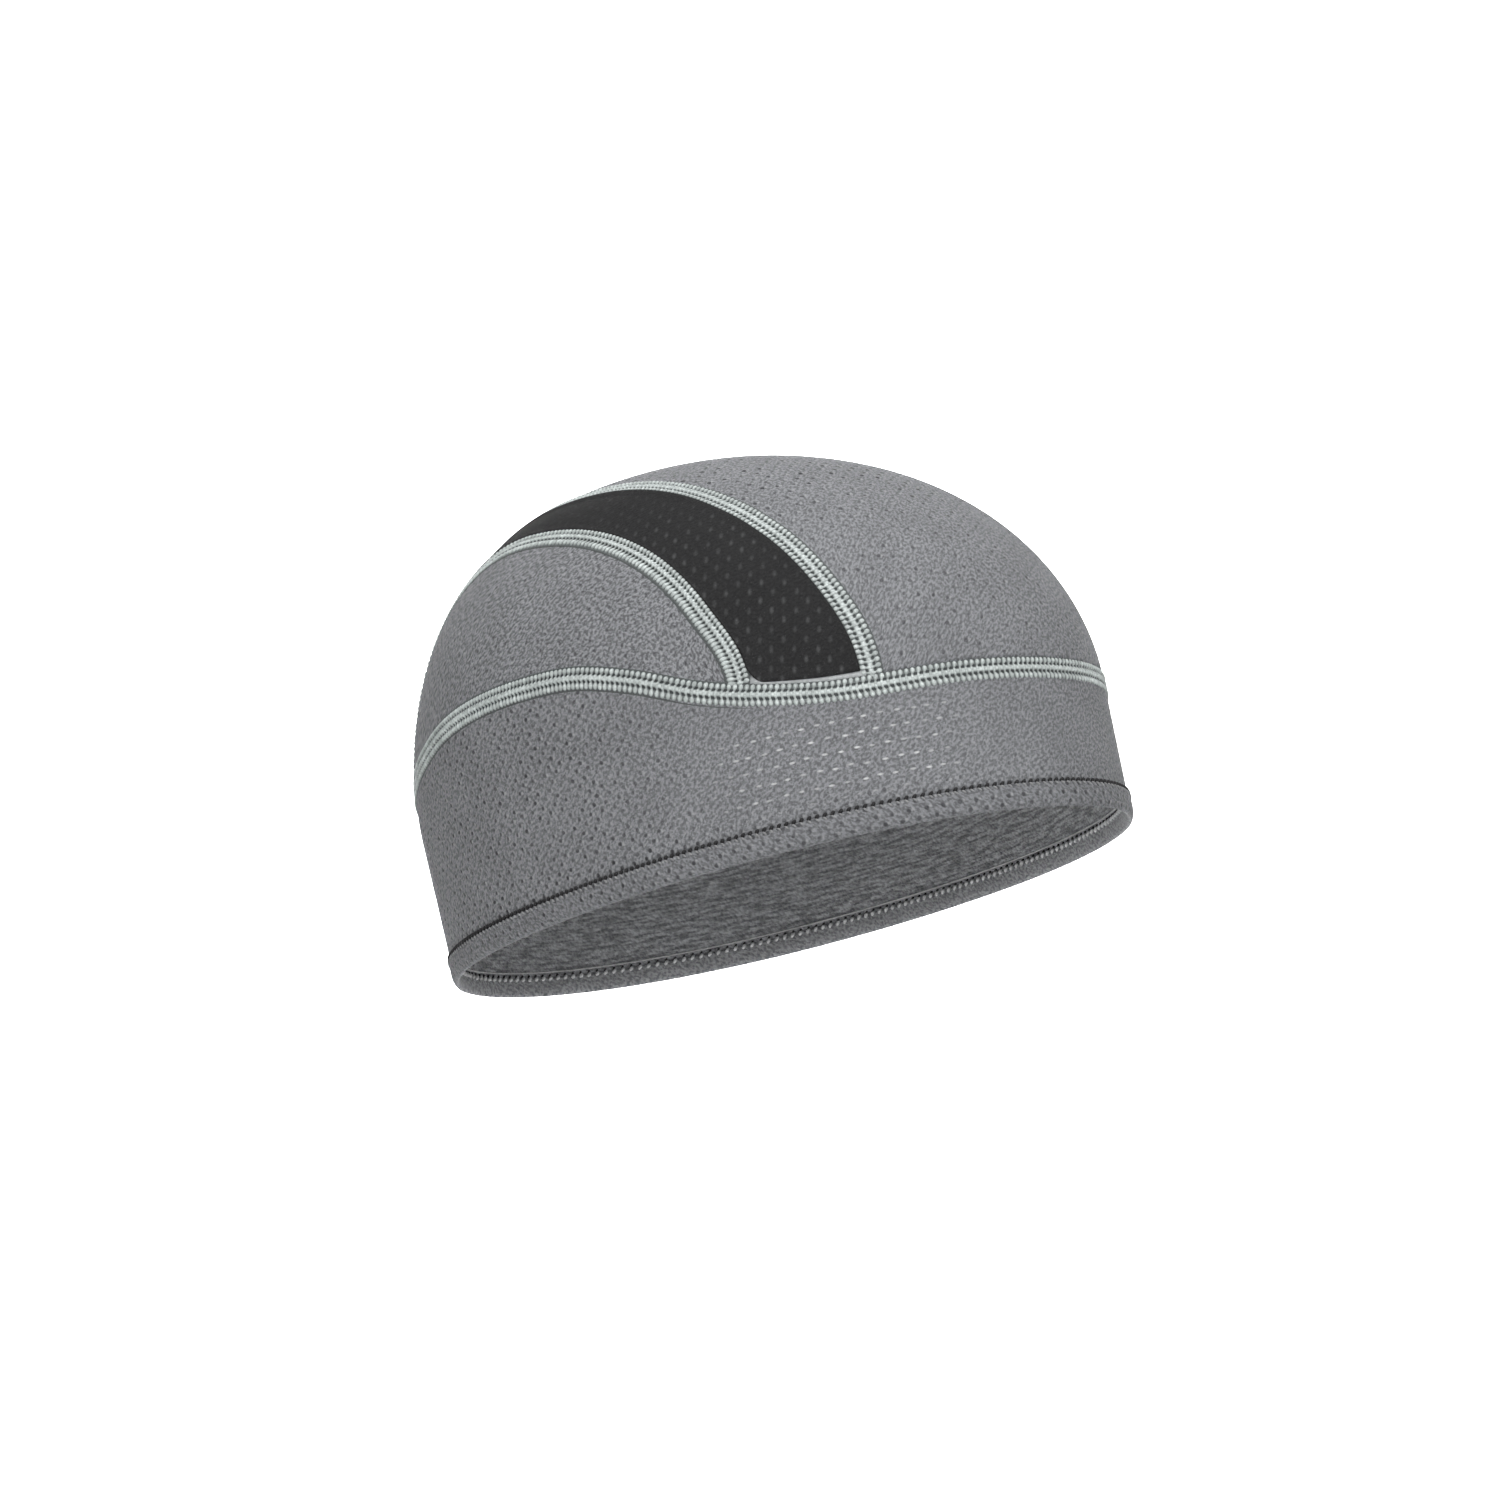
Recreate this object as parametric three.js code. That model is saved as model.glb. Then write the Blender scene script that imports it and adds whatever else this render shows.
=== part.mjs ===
// Cooling cap: a thin stretch-knit skull cap, held in the shape it has when worn.
// Millimetres. +Z is up for the wearer, the forehead faces -Y and the wearer's left is +X.
// The origin is the centre of the rim opening, and the rim is tipped up at the forehead.
import * as THREE from "three";

// Driving dimensions of the cap
const HALF_LENGTH = 99;
const HALF_WIDTH = 77;
const DEPTH = 122;
const WALL_HEIGHT = 38.5;
const RIM_PITCH_DEG = 15.1;
const LEAN_BACK = 0.1;
const RIM_POWER = 2.08;
const DOME_POWER = 2.145;
// How the dome rises (power) and how its wall opens outward above the rim (flare)
const SIDES = {
  front: { power: 1.76, flare: 0.136 },
  back: { power: 1.73, flare: -0.117 },
  side: { power: 2.51, flare: 0.128 },
};

// Driving dimensions of the cloth and its seams
const KNIT = 1.2;
const GAP = 0.3;
const HEM = { height: 6.2, thickness: 2.4, proud: 0.7 };
const BAND_SEAM = { width: 6.6, thickness: 2.0, proud: 0.5 };
const STRIP_SEAM = { width: 5.6, thickness: 1.9, proud: 0.4 };

// Middle line of the seam over the band: height above the rim plane by angle from the forehead
const BAND_SEAM_LINE = [
  { angle: 0, height: 36.0 },
  { angle: 18, height: 36.2 },
  { angle: 36, height: 36.2 },
  { angle: 48, height: 39.4 },
  { angle: 58, height: 44.2 },
  { angle: 69, height: 52.0 },
  { angle: 80, height: 57.6 },
  { angle: 92, height: 59.8 },
  { angle: 105, height: 60.4 },
  { angle: 117, height: 59.3 },
  { angle: 130, height: 55.9 },
  { angle: 152, height: 50.2 },
  { angle: 180, height: 48.0 },
];

// Middle lines of the two seams along each strip: distance from the cap's middle plane,
// from the forehead (negative y) to the nape
const STRIP_LINES = [
  { y: -86, inner: 49.0, outer: 59.8 },
  { y: -72, inner: 51.5, outer: 62.6 },
  { y: -58, inner: 51.7, outer: 66.9 },
  { y: -50.5, inner: 51.3, outer: 69.2 },
  { y: -44, inner: 50.8, outer: 70.0 },
  { y: -30, inner: 49.0, outer: 68.7 },
  { y: -12, inner: 46.6, outer: 66.1 },
  { y: 8, inner: 44.3, outer: 62.6 },
  { y: 30, inner: 41.0, outer: 58.0 },
  { y: 60, inner: 36.5, outer: 52.2 },
  { y: 96, inner: 33.0, outer: 46.0 },
];

// How finely the curved cloth is cut into flat facets
const RING_STEPS = 84;
const BAND_ROWS = 4;
const TOP_GRID = { along: 26, across: 18 };
const STRIP_GRID = { along: 26, across: 4 };
const SIDE_GRID = { along: 26, across: 6 };
const SEAM_GRID = { along: 30, across: 2 };
const SIDE_PANEL_TIP = { height: 1.5, inset: 0.01 };
const BISECTIONS = 40;
const DEGREE = Math.PI / 180;

// A point well inside the hollow, from which every part of the wall can be seen
const EYE = new THREE.Vector3(0, 4, 30);

/** Smooth curve through the rows of a table: column value at x, level at both ends. */
function readTable(rows, xName, yName, x) {
  const last = rows.length - 1;
  const at = Math.min(Math.max(x, rows[0][xName]), rows[last][xName]);
  let k = 0;
  while (k < last - 1 && at > rows[k + 1][xName]) k += 1;
  const slope = (i) => {
    if (i === 0 || i === last) return 0;
    return (rows[i + 1][yName] - rows[i - 1][yName]) / (rows[i + 1][xName] - rows[i - 1][xName]);
  };
  const span = rows[k + 1][xName] - rows[k][xName];
  const t = (at - rows[k][xName]) / span;
  const start = rows[k][yName];
  const end = rows[k + 1][yName];
  const blend = t * t * (3 - 2 * t);
  const leave = t * (1 - t) * (1 - t) * span * slope(k);
  const arrive = t * t * (t - 1) * span * slope(k + 1);
  return start + (end - start) * blend + leave + arrive;
}

/** Shape values of the dome for one horizontal direction: sine and cosine of its angle. */
function domeAt(sine, cosine) {
  const length = cosine >= 0 ? SIDES.front : SIDES.back;
  const mix = (name) => length[name] * cosine * cosine + SIDES.side[name] * sine * sine;
  const along = (Math.abs(cosine) / HALF_LENGTH) ** RIM_POWER;
  const across = (Math.abs(sine) / HALF_WIDTH) ** RIM_POWER;
  return { rim: (along + across) ** (-1 / RIM_POWER), power: mix("power"), flare: mix("flare") };
}

/** Below zero inside the cap's outer surface, above zero outside it. */
function outside(p) {
  const y = p.y - LEAN_BACK * p.z;
  const radius = Math.hypot(p.x, y);
  const dome = domeAt(radius > 0 ? p.x / radius : 0, radius > 0 ? -y / radius : 1);
  const level = radius / (dome.rim * (1 + (dome.flare * p.z) / DEPTH));
  const rise = Math.max(0, (p.z - WALL_HEIGHT) / (DEPTH - WALL_HEIGHT));
  return level ** DOME_POWER + rise ** dome.power - 1;
}

/** Where the line from one point toward another leaves the cap. */
function leaveCap(from, toward) {
  const step = toward.clone().sub(from).normalize();
  let near = 0;
  let far = 2 * HALF_LENGTH;
  for (let i = 0; i < BISECTIONS; i += 1) {
    const middle = (near + far) / 2;
    if (outside(from.clone().addScaledVector(step, middle)) < 0) near = middle;
    else far = middle;
  }
  return from.clone().addScaledVector(step, near);
}

/** Outward normal of the cap's surface. */
function normalAt(p) {
  const h = 0.01;
  const slope = (dx, dy, dz) => {
    const ahead = outside(new THREE.Vector3(p.x + dx, p.y + dy, p.z + dz));
    return ahead - outside(new THREE.Vector3(p.x - dx, p.y - dy, p.z - dz));
  };
  return new THREE.Vector3(slope(h, 0, 0), slope(0, h, 0), slope(0, 0, h)).normalize();
}

/** Surface point on the wall at an angle from the forehead (radians) and a height over the rim. */
function wallPoint(angle, height) {
  const axis = new THREE.Vector3(0, LEAN_BACK * height, height);
  return leaveCap(axis, new THREE.Vector3(Math.sin(angle), -Math.cos(angle), 0).add(axis));
}

/** Angle from the forehead of a surface point, radians. */
function angleOf(p) {
  return Math.atan2(p.x, -(p.y - LEAN_BACK * p.z));
}

/** Point on the middle line of the band's seam. */
function bandSeamPoint(angle) {
  const turn = Math.abs(Math.atan2(Math.sin(angle), Math.cos(angle))) / DEGREE;
  return wallPoint(angle, readTable(BAND_SEAM_LINE, "angle", "height", turn));
}

/** A curve on the surface moved sideways along the surface; positive is to the left of its run. */
function beside(curve, distance) {
  return (t) => {
    const h = 0.002;
    const p = curve(t);
    const run = curve(t + h).sub(curve(t - h)).normalize();
    const side = normalAt(p).cross(run).normalize();
    return leaveCap(EYE, p.addScaledVector(side, distance));
  };
}

/** How far a point lies over the band seam's middle line, measured up the surface. */
function overBandSeam(p) {
  const seam = bandSeamPoint(angleOf(p));
  const h = 0.01;
  const run = bandSeamPoint(angleOf(p) + h).sub(bandSeamPoint(angleOf(p) - h)).normalize();
  const up = run.cross(normalAt(seam));
  return -p.clone().sub(seam).dot(up);
}

/** Middle line of one strip seam over the crown; t runs from 0 at the forehead to 1 at the nape. */
function stripLine(column, side) {
  return (t) => {
    const sweep = Math.PI * t;
    let near = 0;
    let far = 2 * HALF_LENGTH;
    const at = (reach) => {
      const y = EYE.y - reach * Math.cos(sweep);
      const x = side * readTable(STRIP_LINES, "y", column, y);
      return new THREE.Vector3(x, y, EYE.z + reach * Math.sin(sweep));
    };
    for (let i = 0; i < BISECTIONS; i += 1) {
      const middle = (near + far) / 2;
      if (outside(at(middle)) < 0) near = middle;
      else far = middle;
    }
    return at(near);
  };
}

/** The stretch of a line over the crown that stays clear above the band's seam. */
function aboveBand(curve, clearance) {
  const meet = (low, high) => {
    let below = low;
    let above = high;
    for (let i = 0; i < BISECTIONS; i += 1) {
      const middle = (below + above) / 2;
      if (overBandSeam(curve(middle)) < clearance) below = middle;
      else above = middle;
    }
    return above;
  };
  const start = meet(0.005, 0.5);
  const end = meet(0.995, 0.5);
  return (t) => curve(start + (end - start) * t);
}

/** Joins a closed loop of points to the next around a ring, as one closed body. */
function ringBody(loopAt, steps) {
  const loops = Array.from({ length: steps }, (_, i) => loopAt((2 * Math.PI * i) / steps));
  const size = loops[0].length;
  const triangles = [];
  for (let i = 0; i < steps; i += 1) {
    const next = (i + 1) % steps;
    for (let j = 0; j < size; j += 1) {
      const up = (j + 1) % size;
      triangles.push([i * size + j, next * size + j, next * size + up]);
      triangles.push([i * size + j, next * size + up, i * size + up]);
    }
  }
  return bodyFrom(loops.flat(), triangles);
}

/** Closes a grid of surface points into a sheet between two depths below the cap's surface. */
function sheetBody(grid, proud, thickness) {
  const rows = grid.length;
  const columns = grid[0].length;
  const points = [];
  for (const depth of [proud, proud - thickness]) {
    for (const row of grid) {
      for (const p of row) points.push(p.clone().addScaledVector(normalAt(p), depth));
    }
  }
  const inner = rows * columns;
  const triangles = [];
  const quad = (a, b, c, d) => triangles.push([a, b, c], [a, c, d]);
  for (let i = 0; i < rows - 1; i += 1) {
    for (let j = 0; j < columns - 1; j += 1) {
      const a = i * columns + j;
      quad(a, a + 1, a + columns + 1, a + columns);
      quad(inner + a, inner + a + columns, inner + a + columns + 1, inner + a + 1);
    }
  }
  const edge = [];
  for (let j = 0; j < columns - 1; j += 1) edge.push(j);
  for (let i = 0; i < rows - 1; i += 1) edge.push(i * columns + columns - 1);
  for (let j = columns - 1; j > 0; j -= 1) edge.push((rows - 1) * columns + j);
  for (let i = rows - 1; i > 0; i -= 1) edge.push(i * columns);
  edge.forEach((a, i) => {
    const b = edge[(i + 1) % edge.length];
    quad(b, a, inner + a, inner + b);
  });
  return bodyFrom(points, triangles);
}

/** Geometry of one closed body, with its faces turned outward. */
function bodyFrom(points, triangles) {
  let volume = 0;
  for (const [a, b, c] of triangles) {
    volume += points[a].dot(points[b].clone().cross(points[c]));
  }
  const index = triangles.flatMap(([a, b, c]) => (volume > 0 ? [a, b, c] : [a, c, b]));
  const geometry = new THREE.BufferGeometry();
  geometry.setAttribute("position", new THREE.Float32BufferAttribute(points.flatMap((p) => p.toArray()), 3));
  geometry.setIndex(index);
  geometry.computeVertexNormals();
  return geometry;
}

/** Grid of surface points between four edges that meet at their corners. */
function spanEdges(left, right, first, last, counts) {
  const grid = [];
  for (let i = 0; i <= counts.along; i += 1) {
    const s = i / counts.along;
    const row = [];
    for (let j = 0; j <= counts.across; j += 1) {
      const t = j / counts.across;
      const p = left(s).multiplyScalar(1 - t).addScaledVector(right(s), t);
      p.addScaledVector(first(t), 1 - s).addScaledVector(last(t), s);
      p.addScaledVector(left(0), -(1 - s) * (1 - t)).addScaledVector(right(0), -(1 - s) * t);
      p.addScaledVector(left(1), -s * (1 - t)).addScaledVector(right(1), -s * t);
      row.push(leaveCap(EYE, p));
    }
    grid.push(row);
  }
  return grid;
}

/** The edge over the band's seam between two points, at a clearance above its middle line. */
function edgeOverBand(from, to, clearance) {
  const start = angleOf(from);
  const turn = angleOf(to) - start;
  const shortTurn = Math.atan2(Math.sin(turn), Math.cos(turn));
  return (t) => {
    if (t <= 0) return from.clone();
    if (t >= 1) return to.clone();
    let low = bandSeamPoint(start + shortTurn * t);
    let high = EYE.clone().setZ(DEPTH);
    for (let i = 0; i < BISECTIONS; i += 1) {
      const middle = leaveCap(EYE, low.clone().add(high).multiplyScalar(0.5));
      if (overBandSeam(middle) < clearance) low = middle;
      else high = middle;
    }
    return low;
  };
}

/** A piece of cloth or seam between two lines over the crown, ending above the band's seam. */
function crownPiece(leftLine, rightLine, counts, proud, thickness) {
  const clearance = BAND_SEAM.width / 2 + GAP;
  const left = aboveBand(leftLine, clearance);
  const right = aboveBand(rightLine, clearance);
  const first = edgeOverBand(left(0), right(0), clearance);
  const last = edgeOverBand(left(1), right(1), clearance);
  return sheetBody(spanEdges(left, right, first, last, counts), proud, thickness);
}

/** Cloth below a strip: between the strip's outer seam and the crest of the band's seam. */
function sidePanel(side) {
  const clearance = BAND_SEAM.width / 2 + GAP;
  const cut = (STRIP_SEAM.width / 2 + GAP) * side;
  const upperLine = aboveBand(beside(stripLine("outer", side), -cut), clearance + SIDE_PANEL_TIP.height);
  const start = angleOf(upperLine(0));
  const end = angleOf(upperLine(1));
  const foot = (angle) => {
    const p = bandSeamPoint(angle);
    return edgeOverBand(p, p, clearance)(0.5);
  };
  const lowerLine = (t) => {
    const share = SIDE_PANEL_TIP.inset + (1 - 2 * SIDE_PANEL_TIP.inset) * t;
    return foot(start + (end - start) * share);
  };
  const tipEdge = (t) => (u) => leaveCap(EYE, upperLine(t).lerp(lowerLine(t), u));
  return sheetBody(spanEdges(upperLine, lowerLine, tipEdge(0), tipEdge(1), SIDE_GRID), 0, KNIT);
}

/** Seam over one strip line, from the band's seam at the forehead to the one at the nape. */
function stripSeam(column, side) {
  const middle = stripLine(column, side);
  const half = STRIP_SEAM.width / 2;
  const { proud, thickness } = STRIP_SEAM;
  return crownPiece(beside(middle, half), beside(middle, -half), SEAM_GRID, proud, thickness);
}

/** Dark mesh strip between its two seams. */
function meshStrip(side) {
  const cut = (STRIP_SEAM.width / 2 + GAP) * side;
  const inner = beside(stripLine("inner", side), -cut);
  const outer = beside(stripLine("outer", side), cut);
  return crownPiece(inner, outer, STRIP_GRID, 0, KNIT);
}

/** Broad panel over the crown between the two strips. */
function topPanel() {
  const cut = STRIP_SEAM.width / 2 + GAP;
  const right = beside(stripLine("inner", -1), -cut);
  const left = beside(stripLine("inner", 1), cut);
  return crownPiece(right, left, TOP_GRID, 0, KNIT);
}

/** A point moved along the surface normal. */
function lifted(p, distance) {
  return p.clone().addScaledVector(normalAt(p), distance);
}

/** Folded hem around the mouth, rounded at its lower edge. */
function hem() {
  const { height, thickness, proud } = HEM;
  const round = thickness / 2;
  const middle = proud - round;
  const facets = 5;
  return ringBody((angle) => {
    const foot = wallPoint(angle, round);
    const out = normalAt(foot);
    const loop = [lifted(wallPoint(angle, height), proud)];
    for (let i = 0; i <= facets; i += 1) {
      const turn = (Math.PI * i) / facets;
      const p = foot.clone().addScaledVector(out, middle + round * Math.cos(turn));
      loop.push(p.setZ(p.z - round * Math.sin(turn)));
    }
    loop.push(lifted(wallPoint(angle, height), proud - thickness));
    return loop;
  }, RING_STEPS);
}

/** Broad band between the hem and the band's seam. */
function band() {
  const clearance = BAND_SEAM.width / 2 + GAP;
  return ringBody((angle) => {
    const seam = beside(bandSeamPoint, -clearance)(angle);
    const low = HEM.height + GAP;
    const rows = Array.from({ length: BAND_ROWS + 1 }, (_, i) => {
      return wallPoint(angleOf(seam), low + ((seam.z - low) * i) / BAND_ROWS);
    });
    const outer = rows.map((p) => p.clone());
    const inner = rows.map((p) => lifted(p, -KNIT)).reverse();
    return [...outer, ...inner];
  }, RING_STEPS);
}

/** Seam around the cap between the band and the crown panels. */
function bandSeam() {
  const half = BAND_SEAM.width / 2;
  const { proud, thickness } = BAND_SEAM;
  return ringBody((angle) => {
    const rows = [-half, 0, half].map((offset) => beside(bandSeamPoint, offset)(angle));
    const outer = rows.map((p) => lifted(p, proud));
    const inner = rows.map((p) => lifted(p, proud - thickness)).reverse();
    return [...outer, ...inner];
  }, RING_STEPS);
}

const greyKnit = { color: 0x7e7f82, roughness: 0.9, metalness: 0 };
const blackMesh = { color: 0x2f2f31, roughness: 0.85, metalness: 0 };
const paleThread = { color: 0xa5aeac, roughness: 0.7, metalness: 0 };

/** One named piece with its own material. */
function piece(name, geometry, look) {
  const mesh = new THREE.Mesh(geometry, new THREE.MeshStandardMaterial(look));
  mesh.name = name;
  return mesh;
}

const cap = new THREE.Group();
cap.add(piece("hem", hem(), greyKnit));
cap.add(piece("band", band(), greyKnit));
cap.add(piece("band_seam", bandSeam(), paleThread));
cap.add(piece("top_panel", topPanel(), greyKnit));
for (const { name, side } of [{ name: "right", side: -1 }, { name: "left", side: 1 }]) {
  cap.add(piece(`strip_${name}`, meshStrip(side), blackMesh));
  cap.add(piece(`side_panel_${name}`, sidePanel(side), greyKnit));
  cap.add(piece(`strip_inner_seam_${name}`, stripSeam("inner", side), paleThread));
  cap.add(piece(`strip_outer_seam_${name}`, stripSeam("outer", side), paleThread));
}
cap.rotation.x = -RIM_PITCH_DEG * DEGREE;

export default cap;
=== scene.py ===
"""Cooling cap: looks of a thin perforated knit cap with dark mesh strips and pale flat seams.

Lengths inside the classes are millimetres in the cap's own frame: the rim plane is z = 0, the
forehead faces -Y and the wearer's left is +X. CapForm.place turns them into row-frame metres.
"""
import logging
import math
from dataclasses import dataclass, field, replace
from enum import Enum
from typing import Callable, NamedTuple, Protocol

import bpy
import numpy as np
from mathutils import Matrix, Vector


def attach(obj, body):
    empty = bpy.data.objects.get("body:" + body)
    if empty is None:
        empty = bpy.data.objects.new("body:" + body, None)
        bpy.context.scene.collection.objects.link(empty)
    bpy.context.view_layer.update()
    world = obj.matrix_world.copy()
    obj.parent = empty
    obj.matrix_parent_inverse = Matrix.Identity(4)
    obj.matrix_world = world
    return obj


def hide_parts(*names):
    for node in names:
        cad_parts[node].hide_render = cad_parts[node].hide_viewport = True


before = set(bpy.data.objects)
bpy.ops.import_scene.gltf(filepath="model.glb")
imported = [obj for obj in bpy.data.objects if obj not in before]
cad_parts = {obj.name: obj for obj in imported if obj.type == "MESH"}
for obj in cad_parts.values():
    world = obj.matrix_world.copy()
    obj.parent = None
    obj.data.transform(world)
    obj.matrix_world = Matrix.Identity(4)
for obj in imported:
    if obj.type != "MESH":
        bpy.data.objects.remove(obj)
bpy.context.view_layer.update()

Array = np.ndarray
Line = Callable[[Array], Array]
Pair = tuple[float, float]
Triple = tuple[float, float, float]
Socket = bpy.types.NodeSocket
Material = bpy.types.Material
Thing = bpy.types.Object
LOG = logging.getLogger("cooling_cap")
BODY = "root"
MM = 0.001
# Steps of the searches and slopes on the cap's form.
BISECTIONS = 34
SLOPE_STEP = 0.01
LINE_STEP = 0.002
LENGTH_STEPS = 400
# Smallest cloth step between rows of points, and the number that keeps rows of eyelets apart.
FINEST_STEP = 0.3
ROW_NUMBER = 100003
# How much painted shade darkens the flanks and undersides of threads, how rough every cloth's sheen is,
# and where a strip's seams end above the band's seam.
SIDE_SHADE = 0.38
SHEEN_ROUGHNESS = 0.45
SEAM_CLEARANCE = 2.2


class Side(Enum):
    """The wearer's side that a piece lies on, as the sign of its X."""

    RIGHT = -1
    LEFT = 1


class Edge(Enum):
    """Which long seam of a mesh strip: the one by the top panel or the one by the side panel."""

    INNER = "inner"
    OUTER = "outer"


class SeamRow(NamedTuple):
    """Height of the band's seam over the rim plane at an angle from the forehead."""

    angle: float
    height: float


class StripRow(NamedTuple):
    """Distances of a strip's two seams from the cap's middle plane at one place from front to back."""

    y: float
    inner: float
    outer: float


BAND_SEAM_ROWS = (
    SeamRow(angle=0, height=36.0),
    SeamRow(angle=18, height=36.2),
    SeamRow(angle=36, height=36.2),
    SeamRow(angle=48, height=39.4),
    SeamRow(angle=58, height=44.2),
    SeamRow(angle=69, height=52.0),
    SeamRow(angle=80, height=57.6),
    SeamRow(angle=92, height=59.8),
    SeamRow(angle=105, height=60.4),
    SeamRow(angle=117, height=59.3),
    SeamRow(angle=130, height=55.9),
    SeamRow(angle=152, height=50.2),
    SeamRow(angle=180, height=48.0),
)

STRIP_ROWS = (
    StripRow(y=-86, inner=49.0, outer=59.8),
    StripRow(y=-72, inner=51.5, outer=62.6),
    StripRow(y=-58, inner=51.7, outer=66.9),
    StripRow(y=-50.5, inner=51.3, outer=69.2),
    StripRow(y=-44, inner=50.8, outer=70.0),
    StripRow(y=-30, inner=49.0, outer=68.7),
    StripRow(y=-12, inner=46.6, outer=66.1),
    StripRow(y=8, inner=44.3, outer=62.6),
    StripRow(y=30, inner=41.0, outer=58.0),
    StripRow(y=60, inner=36.5, outer=52.2),
    StripRow(y=96, inner=33.0, outer=46.0),
)


def read_table(keys: Array, values: Array, at: Array) -> Array:
    """Read a smooth curve through a table's rows, level at both ends.

    Args:
        keys: Rising column that is looked up.
        values: Column that is read.
        at: Places to read.

    Returns:
        The curve's values.
    """
    slopes = np.zeros_like(values)
    slopes[1:-1] = (values[2:] - values[:-2]) / (keys[2:] - keys[:-2])
    at = np.clip(at, keys[0], keys[-1])
    k = np.clip(np.searchsorted(keys, at, side="right") - 1, 0, len(keys) - 2)
    span = keys[k + 1] - keys[k]
    t = (at - keys[k]) / span
    blend = t * t * (3 - 2 * t)
    leave = t * (1 - t) ** 2 * span * slopes[k]
    arrive = t * t * (t - 1) * span * slopes[k + 1]
    return values[k] + (values[k + 1] - values[k]) * blend + leave + arrive


def unit(vectors: Array) -> Array:
    """Scale each vector to length one."""
    return vectors / np.maximum(np.linalg.norm(vectors, axis=-1, keepdims=True), 1e-12)


def bisect(inside: Callable[[Array], Array], low: Array, high: Array) -> Array:
    """Find where a test changes along each of many lines.

    Args:
        inside: True for the places that lie before the change.
        low: Places before the change.
        high: Places after it.

    Returns:
        The places of the change.
    """
    for _ in range(BISECTIONS):
        middle = (low + high) / 2
        before = inside(middle)
        low = np.where(before, middle, low)
        high = np.where(before, high, middle)
    return (low + high) / 2


@dataclass(frozen=True)
class CapForm:
    """The cap's outer surface as worn: a straight wall over the rim, closed by a dome."""

    half_length: float = 99.0
    half_width: float = 77.0
    depth: float = 122.0
    wall_height: float = 38.5
    rim_pitch_deg: float = 15.1
    lean_back: float = 0.1
    rim_power: float = 2.08
    dome_power: float = 2.145
    front_power: float = 1.76
    back_power: float = 1.73
    side_power: float = 2.51
    front_flare: float = 0.136
    back_flare: float = -0.117
    side_flare: float = 0.128
    eye: Triple = (0.0, 4.0, 30.0)

    def outside(self, p: Array) -> Array:
        """Below zero inside the surface, above zero outside it.

        Args:
            p: Points to test.

        Returns:
            One value for each point.
        """
        y = p[..., 1] - self.lean_back * p[..., 2]
        radius = np.maximum(np.hypot(p[..., 0], y), 1e-9)
        sine, cosine = p[..., 0] / radius, -y / radius
        ahead = cosine >= 0
        power = np.where(ahead, self.front_power, self.back_power) * cosine**2 + self.side_power * sine**2
        flare = np.where(ahead, self.front_flare, self.back_flare) * cosine**2 + self.side_flare * sine**2
        along = (np.abs(cosine) / self.half_length) ** self.rim_power
        across = (np.abs(sine) / self.half_width) ** self.rim_power
        rim = (along + across) ** (-1 / self.rim_power)
        level = radius / (rim * (1 + flare * p[..., 2] / self.depth))
        rise = np.maximum(0, (p[..., 2] - self.wall_height) / (self.depth - self.wall_height))
        return level**self.dome_power + rise**power - 1

    def leave(self, start: Array, toward: Array) -> Array:
        """Where the line from one point toward another leaves the cap.

        Args:
            start: Points inside the cap.
            toward: Points that the lines run toward.

        Returns:
            Points on the surface.
        """
        step = unit(toward - start)
        reach = np.zeros(step.shape[:-1] + (1,))
        far = reach + 2 * self.half_length
        found = bisect(lambda r: self.outside(start + step * r)[..., None] < 0, reach, far)
        return start + step * found

    def onto(self, p: Array) -> Array:
        """Move points onto the surface, as seen from the middle of the hollow."""
        return self.leave(np.array(self.eye), p)

    def normal(self, p: Array) -> Array:
        """Outward direction of the surface."""
        steps = np.eye(3) * SLOPE_STEP
        return unit(np.stack([self.outside(p + s) - self.outside(p - s) for s in steps], axis=-1))

    def wall(self, angle: Array, height: Array) -> Array:
        """Surface points at angles from the forehead (radians) and heights over the rim plane.

        Args:
            angle: Angles from the forehead.
            height: Heights over the rim plane.

        Returns:
            Points on the surface.
        """
        angle, height = np.broadcast_arrays(angle, height)
        axis = np.stack([0 * height, self.lean_back * height, height], axis=-1)
        return self.leave(axis, axis + np.stack([np.sin(angle), -np.cos(angle), 0 * angle], axis=-1))

    def angle_of(self, p: Array) -> Array:
        """Angle from the forehead of each point, radians."""
        return np.arctan2(p[..., 0], -(p[..., 1] - self.lean_back * p[..., 2]))

    def upright(self) -> Array:
        """The row frame's upward direction, in the cap's own frame."""
        t = math.radians(self.rim_pitch_deg)
        return np.array([0, -math.sin(t), math.cos(t)])

    def place(self, p: Array) -> Array:
        """Turn points of the cap's own frame into row-frame metres.

        Args:
            p: Points in millimetres.

        Returns:
            The placed points.
        """
        t = math.radians(self.rim_pitch_deg)
        turn = np.array([[1, 0, 0], [0, math.cos(t), math.sin(t)], [0, -math.sin(t), math.cos(t)]])
        return p @ turn.T * MM


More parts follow.
